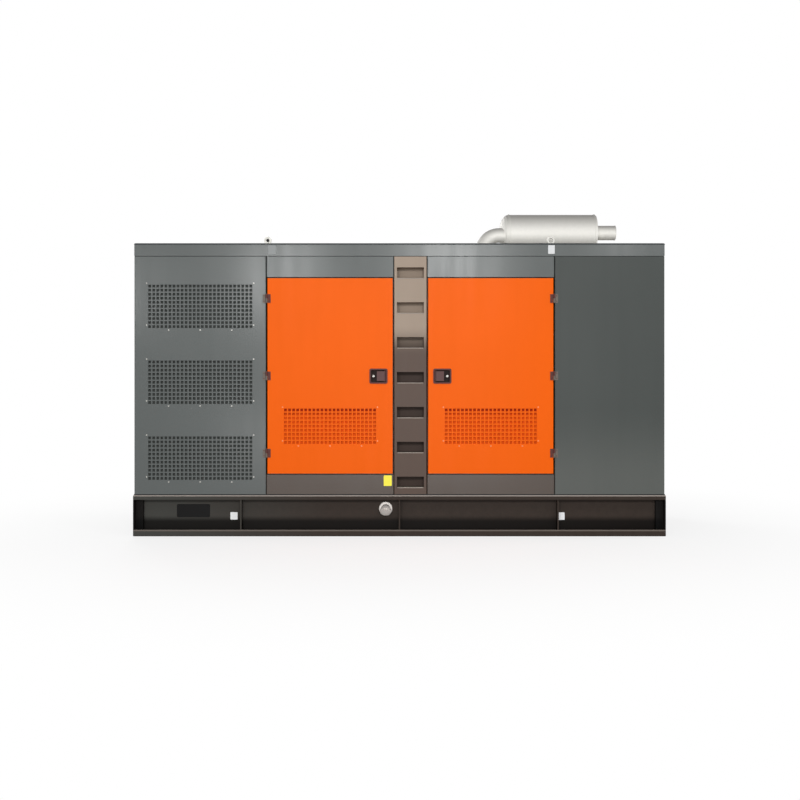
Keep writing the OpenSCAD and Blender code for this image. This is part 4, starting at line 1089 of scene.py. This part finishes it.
class GENSET_OT_rail_ends(bpy.types.Operator):
    """Close the ends of the rails between their lips"""

    bl_idname = "genset.rail_ends"
    bl_label = "Rail End Plates"

    def execute(self, context):
        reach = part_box("rear_rail")[1]
        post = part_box("corner_posts")[1]
        bottom, top, thick = 0.046, 0.263, 0.009
        sunk, lap, corner = 0.0005, 0.003, 0.003
        layers = [(-thick, 0), (-0.0015, 0), (-sunk, 0.001)]
        deep = reach.y - post.y + lap

        def ends(bm):
            for sx in (-1, 1):
                for sy in (-1, 1):
                    spot = (sx * reach.x, sy * (reach.y - sunk - deep / 2), (bottom + top) / 2)
                    slab(bm, deep, top - bottom, corner, layers, facing(spot, (sx, 0, 0)))

        # The plates take the near-black coat: painted shade in the rail ends
        name = "rail_end_plates"
        fit(name, mesh_of(name, ends), "root", FINISHES["recess_paint"])
        return {"FINISHED"}


class GENSET_OT_pocket_nosings(bpy.types.Operator):
    """Weld a round nosing under the opening of every foot pocket"""

    bl_idname = "genset.pocket_nosings"
    bl_label = "Pocket Nosings"

    def execute(self, context):
        drop = 0.0065
        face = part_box("ladder_column")[0].y
        pockets = [box for name, box in OPENINGS.items() if name.startswith("foot_pocket")]
        low, high = pockets[0]
        name = "pocket_nosings"
        seed = bpy.data.meshes.new(name)
        seed.from_pydata([((a.x + b.x) / 2, face, a.z - drop) for a, b in pockets], [], [])
        # The nosings' light coat is a painted highlight
        values = {
            "Length": high.x - low.x,
            "Radius": context.scene.genset_sizes.nosing,
            "Finish": FINISHES["nosing_steel"],
        }
        fit(name, grow(name, seed, nosing_tree(), values), "root")
        return {"FINISHED"}


class GENSET_OT_eye_plugs(bpy.types.Operator):
    """Press a steel bush with a domed rubber plug in the eyes at the air inlet's end"""

    bl_idname = "genset.eye_plugs"
    bl_label = "Lifting Eye Plugs"

    def execute(self, context):
        low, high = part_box("lifting_eyes")
        ring, collar = (high.z - low.z) / 2, 0.022
        bush = [(0.0110, -0.0066), (0.0118, -0.0074), (0.0164, -0.0074), (0.0172, -0.0066)]
        bush += [(radius, -level) for radius, level in reversed(bush)]
        plug = [(0, -0.0064), (0.007, -0.0058), (0.0112, -0.004)]
        plug += [(radius, -level) for radius, level in reversed(plug)]
        for name, profile, slot, finish in (
            ("eye_bushes", bush, "zinc_steel", "zinc_steel"),
            ("eye_plugs", plug, None, "seal"),
        ):

            def turned(bm):
                for y in (low.y + collar, high.y - collar):
                    revolve(bm, profile, facing((low.x + ring, y, high.z - ring), BEHIND), steps=32)

            fit(name, mesh_of(name, turned), "root", FINISHES[finish])
        return {"FINISHED"}


class GENSET_OT_dish_mats(bpy.types.Operator):
    """Lay a dark rubber mat in the dish of every latch: painted shade in the dish"""

    bl_idname = "genset.dish_mats"
    bl_label = "Latch Dish Mats"

    def execute(self, context):
        border, wall, corner, thick = 0.010, 0.003, 0.006, 0.0015
        slack, lift = 0.001, 0.0002
        layers = [(0, 0), (thick - 0.0005, 0), (thick, 0.0005)]
        for side, _ in SIDES:
            low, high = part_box(side + "_latch")
            middle = (low + high) / 2
            width, height = (high.x - low.x) - 2 * border - slack, (high.z - low.z) - 2 * border - slack
            floor = high.y - wall + lift
            for name, body, place in (
                (side + "_dish_mat", side + "_door", facing((middle.x, floor, middle.z), AHEAD)),
                (side + "_rear_dish_mat", "root", facing((middle.x, -floor, middle.z), BEHIND)),
            ):
                mesh = mesh_of(name, lambda bm: slab(bm, width, height, corner, layers, place))
                fit(name, mesh, body, FINISHES["dish_mat"])
        return {"FINISHED"}


class GENSET_OT_exhaust_welds(bpy.types.Operator):
    """Roll the silencer's end seams and weld its pipes"""

    bl_idname = "genset.exhaust_welds"
    bl_label = "Exhaust Seams"

    def execute(self, context):
        bead = context.scene.genset_sizes.weld_height
        low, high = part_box("muffler_shell")
        axis_z, radius = (low.z + high.z) / 2, (high.z - low.z) / 2
        tail_low, tail_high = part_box("tail_pipe")
        pipe = (tail_high.z - tail_low.z) / 2
        bite, lip_bite = 0.001, 0.0005
        seam = [(radius - bite, -0.001), (radius + bead, -0.001), (radius + bead * 1.2, 0.003)]
        seam += [(radius + bead, 0.008), (radius + bead * 0.4, 0.012), (radius - bite, 0.012)]
        weld = [(pipe - bite, -0.0005), (pipe + 2 * bead, -0.0005), (pipe + 1.6 * bead, 0.003)]
        weld += [(pipe + 0.5 * bead, 0.008), (pipe - bite, 0.009)]
        lip = [(pipe - lip_bite, 0.0002), (pipe + 0.0016, 0.001), (pipe + 0.002, 0.003)]
        lip += [(pipe + 0.0014, 0.005), (pipe - lip_bite, 0.006)]

        def rings(bm):
            for x, way, profile, steps in (
                (low.x, 1, seam, 96),
                (high.x, -1, seam, 96),
                (tail_low.x, 1, weld, 64),
                (tail_high.x, -1, lip, 64),
            ):
                revolve(bm, profile, facing((x, 0, axis_z), (way, 0, 0)), steps)

        name = "exhaust_seams"
        fit(name, mesh_of(name, rings), "root", FINISHES["aluminised_steel"])
        return {"FINISHED"}


class GENSET_OT_engine_bolts(bpy.types.Operator):
    """Bolt the flywheel housing, the alternator and the radiator's tanks"""

    bl_idname = "genset.engine_bolts"
    bl_label = "Engine Set Bolts"

    def execute(self, context):
        radius = context.scene.genset_sizes.flange_bolt
        inwards = (-1, 0, 0)
        low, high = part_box("alternator")
        flange_edge, flange_depth, crank_height = 0.022, 0.04, 0.5
        flange_r, crank = (high.y - low.y) / 2 - flange_edge, low.z + crank_height
        flange_bolts = 20
        spots = []
        for i in range(flange_bolts):
            angle = math.radians(360 / flange_bolts * (i + 0.5))
            y, z = flange_r * math.cos(angle), crank + flange_r * math.sin(angle)
            spots.append(((high.x - flange_depth, y, z), inwards))
        tank_low, tank_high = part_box("radiator")
        tank_bolts, tank_pitch, tank_face = 9, 0.12, tank_low.x + 0.1
        for i in range(tank_bolts):
            y = tank_pitch * (i - (tank_bolts - 1) / 2)
            spots += [((tank_face, y, tank_high.z - drop), inwards) for drop in (0.03, 0.08)]
        bolt = {"head": (radius, 0.009), "washer": (radius * 1.3, 0.0025), "sides": 6}
        fasten("engine_set_bolts", "root", spots, **bolt, finish="zinc_steel", slot="zinc_steel")
        return {"FINISHED"}


class GENSET_OT_stage(bpy.types.Operator):
    """Set up the pale floor, the soft lights and the camera"""

    bl_idname = "genset.stage"
    bl_label = "Studio"

    def execute(self, context):
        self.floor()
        self.world(context.scene)
        for name, spot, aim, width, height, power in (
            ("softbox_front", (0.78, -9.0, 2.9), (0, -0.7, 1.3), 1.0, 1.0, 172),
            ("softbox_left", (-1.75, -9.0, 2.72), (-0.4, -0.7, 1.3), 0.7, 1.06, 120),
            ("softbox_low", (0.3, -9.6, 0.4), (0, -0.7, 0.8), 3.2, 0.7, 110),
            ("softbox_far_left", (-3.95, -9.0, 2.5), (-1.8, -0.7, 1.7), 0.4, 1.0, 26),
            ("softbox_end", (3.35, -9.0, 3.2), (1.6, -0.7, 2.0), 0.7, 0.6, 26),
            ("softbox_foot", (-2.2, -9.0, 0.34), (-1.2, -0.7, 0.7), 0.4, 0.6, 20),
            ("softbox_right", (4.6, -6.4, 6.2), (0.2, -0.7, 1.2), 2.4, 2.4, 110),
            ("softbox_back", (-3.5, 6.0, 5.0), (0, 0.5, 1.4), 3.0, 3.0, 260),
            ("softbox_side_right", (8.5, 1.0, 3.6), (1.9, 0, 1.2), 2.4, 2.4, 190),
            ("softbox_side_left", (-8.5, 1.0, 3.6), (-1.9, 0, 1.2), 2.4, 2.4, 150),
        ):
            lamp = bpy.data.lights.new(name, "AREA")
            lamp.shape = "RECTANGLE"
            lamp.size, lamp.size_y, lamp.energy = width, height, power
            light = bpy.data.objects.new(name, lamp)
            light.location = spot
            light.rotation_euler = (Vector(aim) - Vector(spot)).to_track_quat("-Z", "Y").to_euler()
            context.scene.collection.objects.link(light)
        self.camera(context.scene)
        context.scene.view_settings.view_transform = "Standard"
        return {"FINISHED"}

    def shown(self, tree):
        """1 for what is seen, directly, mirrored or through glass, and 0 for the light that is shed."""
        seen = add(tree, "ShaderNodeLightPath").outputs
        pair = {0: seen["Is Camera Ray"], 1: seen["Is Glossy Ray"]}
        direct = add(tree, "ShaderNodeMath", pair, operation="MAXIMUM").outputs[0]
        return add(
            tree, "ShaderNodeMath", {0: direct, 1: seen["Is Transmission Ray"]}, operation="MAXIMUM"
        ).outputs[0]

    def floor(self):
        """Pale matt floor that fades to white far from the object and keeps its shadow near it."""
        radius, fade_from, fade_to = 40, 1.6, 4.5
        bm = bmesh.new()
        bmesh.ops.create_circle(bm, cap_ends=True, segments=96, radius=radius)
        mesh = bpy.data.meshes.new("floor")
        bm.to_mesh(mesh)
        bm.free()
        floor = bpy.data.objects.new("floor", mesh)
        bpy.context.scene.collection.objects.link(floor)
        material, tree, place = start("pale_matt_floor", Roughness=0.9, Specular_IOR_Level=0.1)
        span = add(tree, "ShaderNodeVectorMath", {0: place}, operation="LENGTH").outputs["Value"]
        far = add(
            tree,
            "ShaderNodeMapRange",
            {"Value": span, "From Min": fade_from, "From Max": fade_to, "To Min": 0.75},
            interpolation_type="SMOOTHSTEP",
        )
        shown = self.shown(tree)
        tone = add(tree, "ShaderNodeMapRange", {"Value": shown, "To Min": 0.4, "To Max": 0.85})
        wire(material, {"Base Color": tone.outputs["Result"]})
        fade = add(tree, "ShaderNodeMath", {0: far.outputs["Result"], 1: shown}, operation="MULTIPLY")
        white = add(tree, "ShaderNodeEmission", {"Color": (1, 1, 1, 1), "Strength": 1.0}).outputs["Emission"]
        paint = tree.nodes["Principled BSDF"].outputs["BSDF"]
        mix = add(tree, "ShaderNodeMixShader", {0: fade.outputs[0], 1: paint, 2: white})
        tree.links.new(mix.outputs["Shader"], tree.nodes["Material Output"].inputs["Surface"])
        mesh.materials.append(material)

    def world(self, scene):
        """White surround for what is seen in it, and a quieter one for the light it sheds."""
        world = bpy.data.worlds.new("studio")
        scene.world = world
        world.use_nodes = True
        tree = world.node_tree
        level = add(tree, "ShaderNodeMapRange", {"Value": self.shown(tree), "To Min": 0.38, "To Max": 1.0})
        back = tree.nodes["Background"]
        back.inputs["Color"].default_value = (1, 1, 1, 1)
        tree.links.new(level.outputs["Result"], back.inputs["Strength"])

    def camera(self, scene):
        """Level camera ahead of the front face, its frame dropped to the photograph's."""
        # Distance of the front face, the frame's width and middle there, and the eye's place
        reach, span, middle = 7.5, 5.732, 0.977
        eye, aside = 1.06, 0.004
        sensor = 36
        lens = bpy.data.cameras.new("camera")
        lens.sensor_width = sensor
        lens.lens = sensor * reach / span
        lens.shift_y = (middle - eye) / span
        lens.clip_end = 200
        camera = bpy.data.objects.new("camera", lens)
        camera.location = (aside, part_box("front_inlet_panel")[0].y - reach, eye)
        camera.rotation_euler = (math.pi / 2, 0, 0)
        scene.collection.objects.link(camera)
        scene.camera = camera


class GENSET_PT_panel(bpy.types.Panel):
    """Lists the steps in the order in which they run"""

    bl_idname = "GENSET_PT_panel"
    bl_label = "Generator Set"
    bl_space_type = "VIEW_3D"
    bl_region_type = "UI"
    bl_category = "Generator Set"

    def draw(self, context):
        for step in STEPS:
            self.layout.operator(step.bl_idname)
        for group in (context.scene.genset_colours, context.scene.genset_sizes):
            for name in group.__annotations__:
                self.layout.prop(group, name)


STEPS = (
    GENSET_OT_paint,
    GENSET_OT_rolled_edges,
    GENSET_OT_grille_screws,
    GENSET_OT_hinge_screws,
    GENSET_OT_key_barrels,
    GENSET_OT_plates,
    GENSET_OT_door_seals,
    GENSET_OT_door_linings,
    GENSET_OT_edge_strips,
    GENSET_OT_rail_ends,
    GENSET_OT_pocket_nosings,
    GENSET_OT_eye_plugs,
    GENSET_OT_dish_mats,
    GENSET_OT_exhaust_welds,
    GENSET_OT_engine_bolts,
    GENSET_OT_stage,
)
CLASSES = (GensetColours, GensetSizes, *STEPS, GENSET_PT_panel)


def register():
    for cls in CLASSES:
        bpy.utils.register_class(cls)
    bpy.types.Scene.genset_colours = bpy.props.PointerProperty(type=GensetColours)
    bpy.types.Scene.genset_sizes = bpy.props.PointerProperty(type=GensetSizes)


def unregister():
    del bpy.types.Scene.genset_sizes
    del bpy.types.Scene.genset_colours
    for cls in reversed(CLASSES):
        bpy.utils.unregister_class(cls)


def main():
    """Runs every step."""
    register()
    for step in STEPS:
        group, name = step.bl_idname.split(".")
        getattr(getattr(bpy.ops, group), name)()


if __name__ == "__main__":
    main()
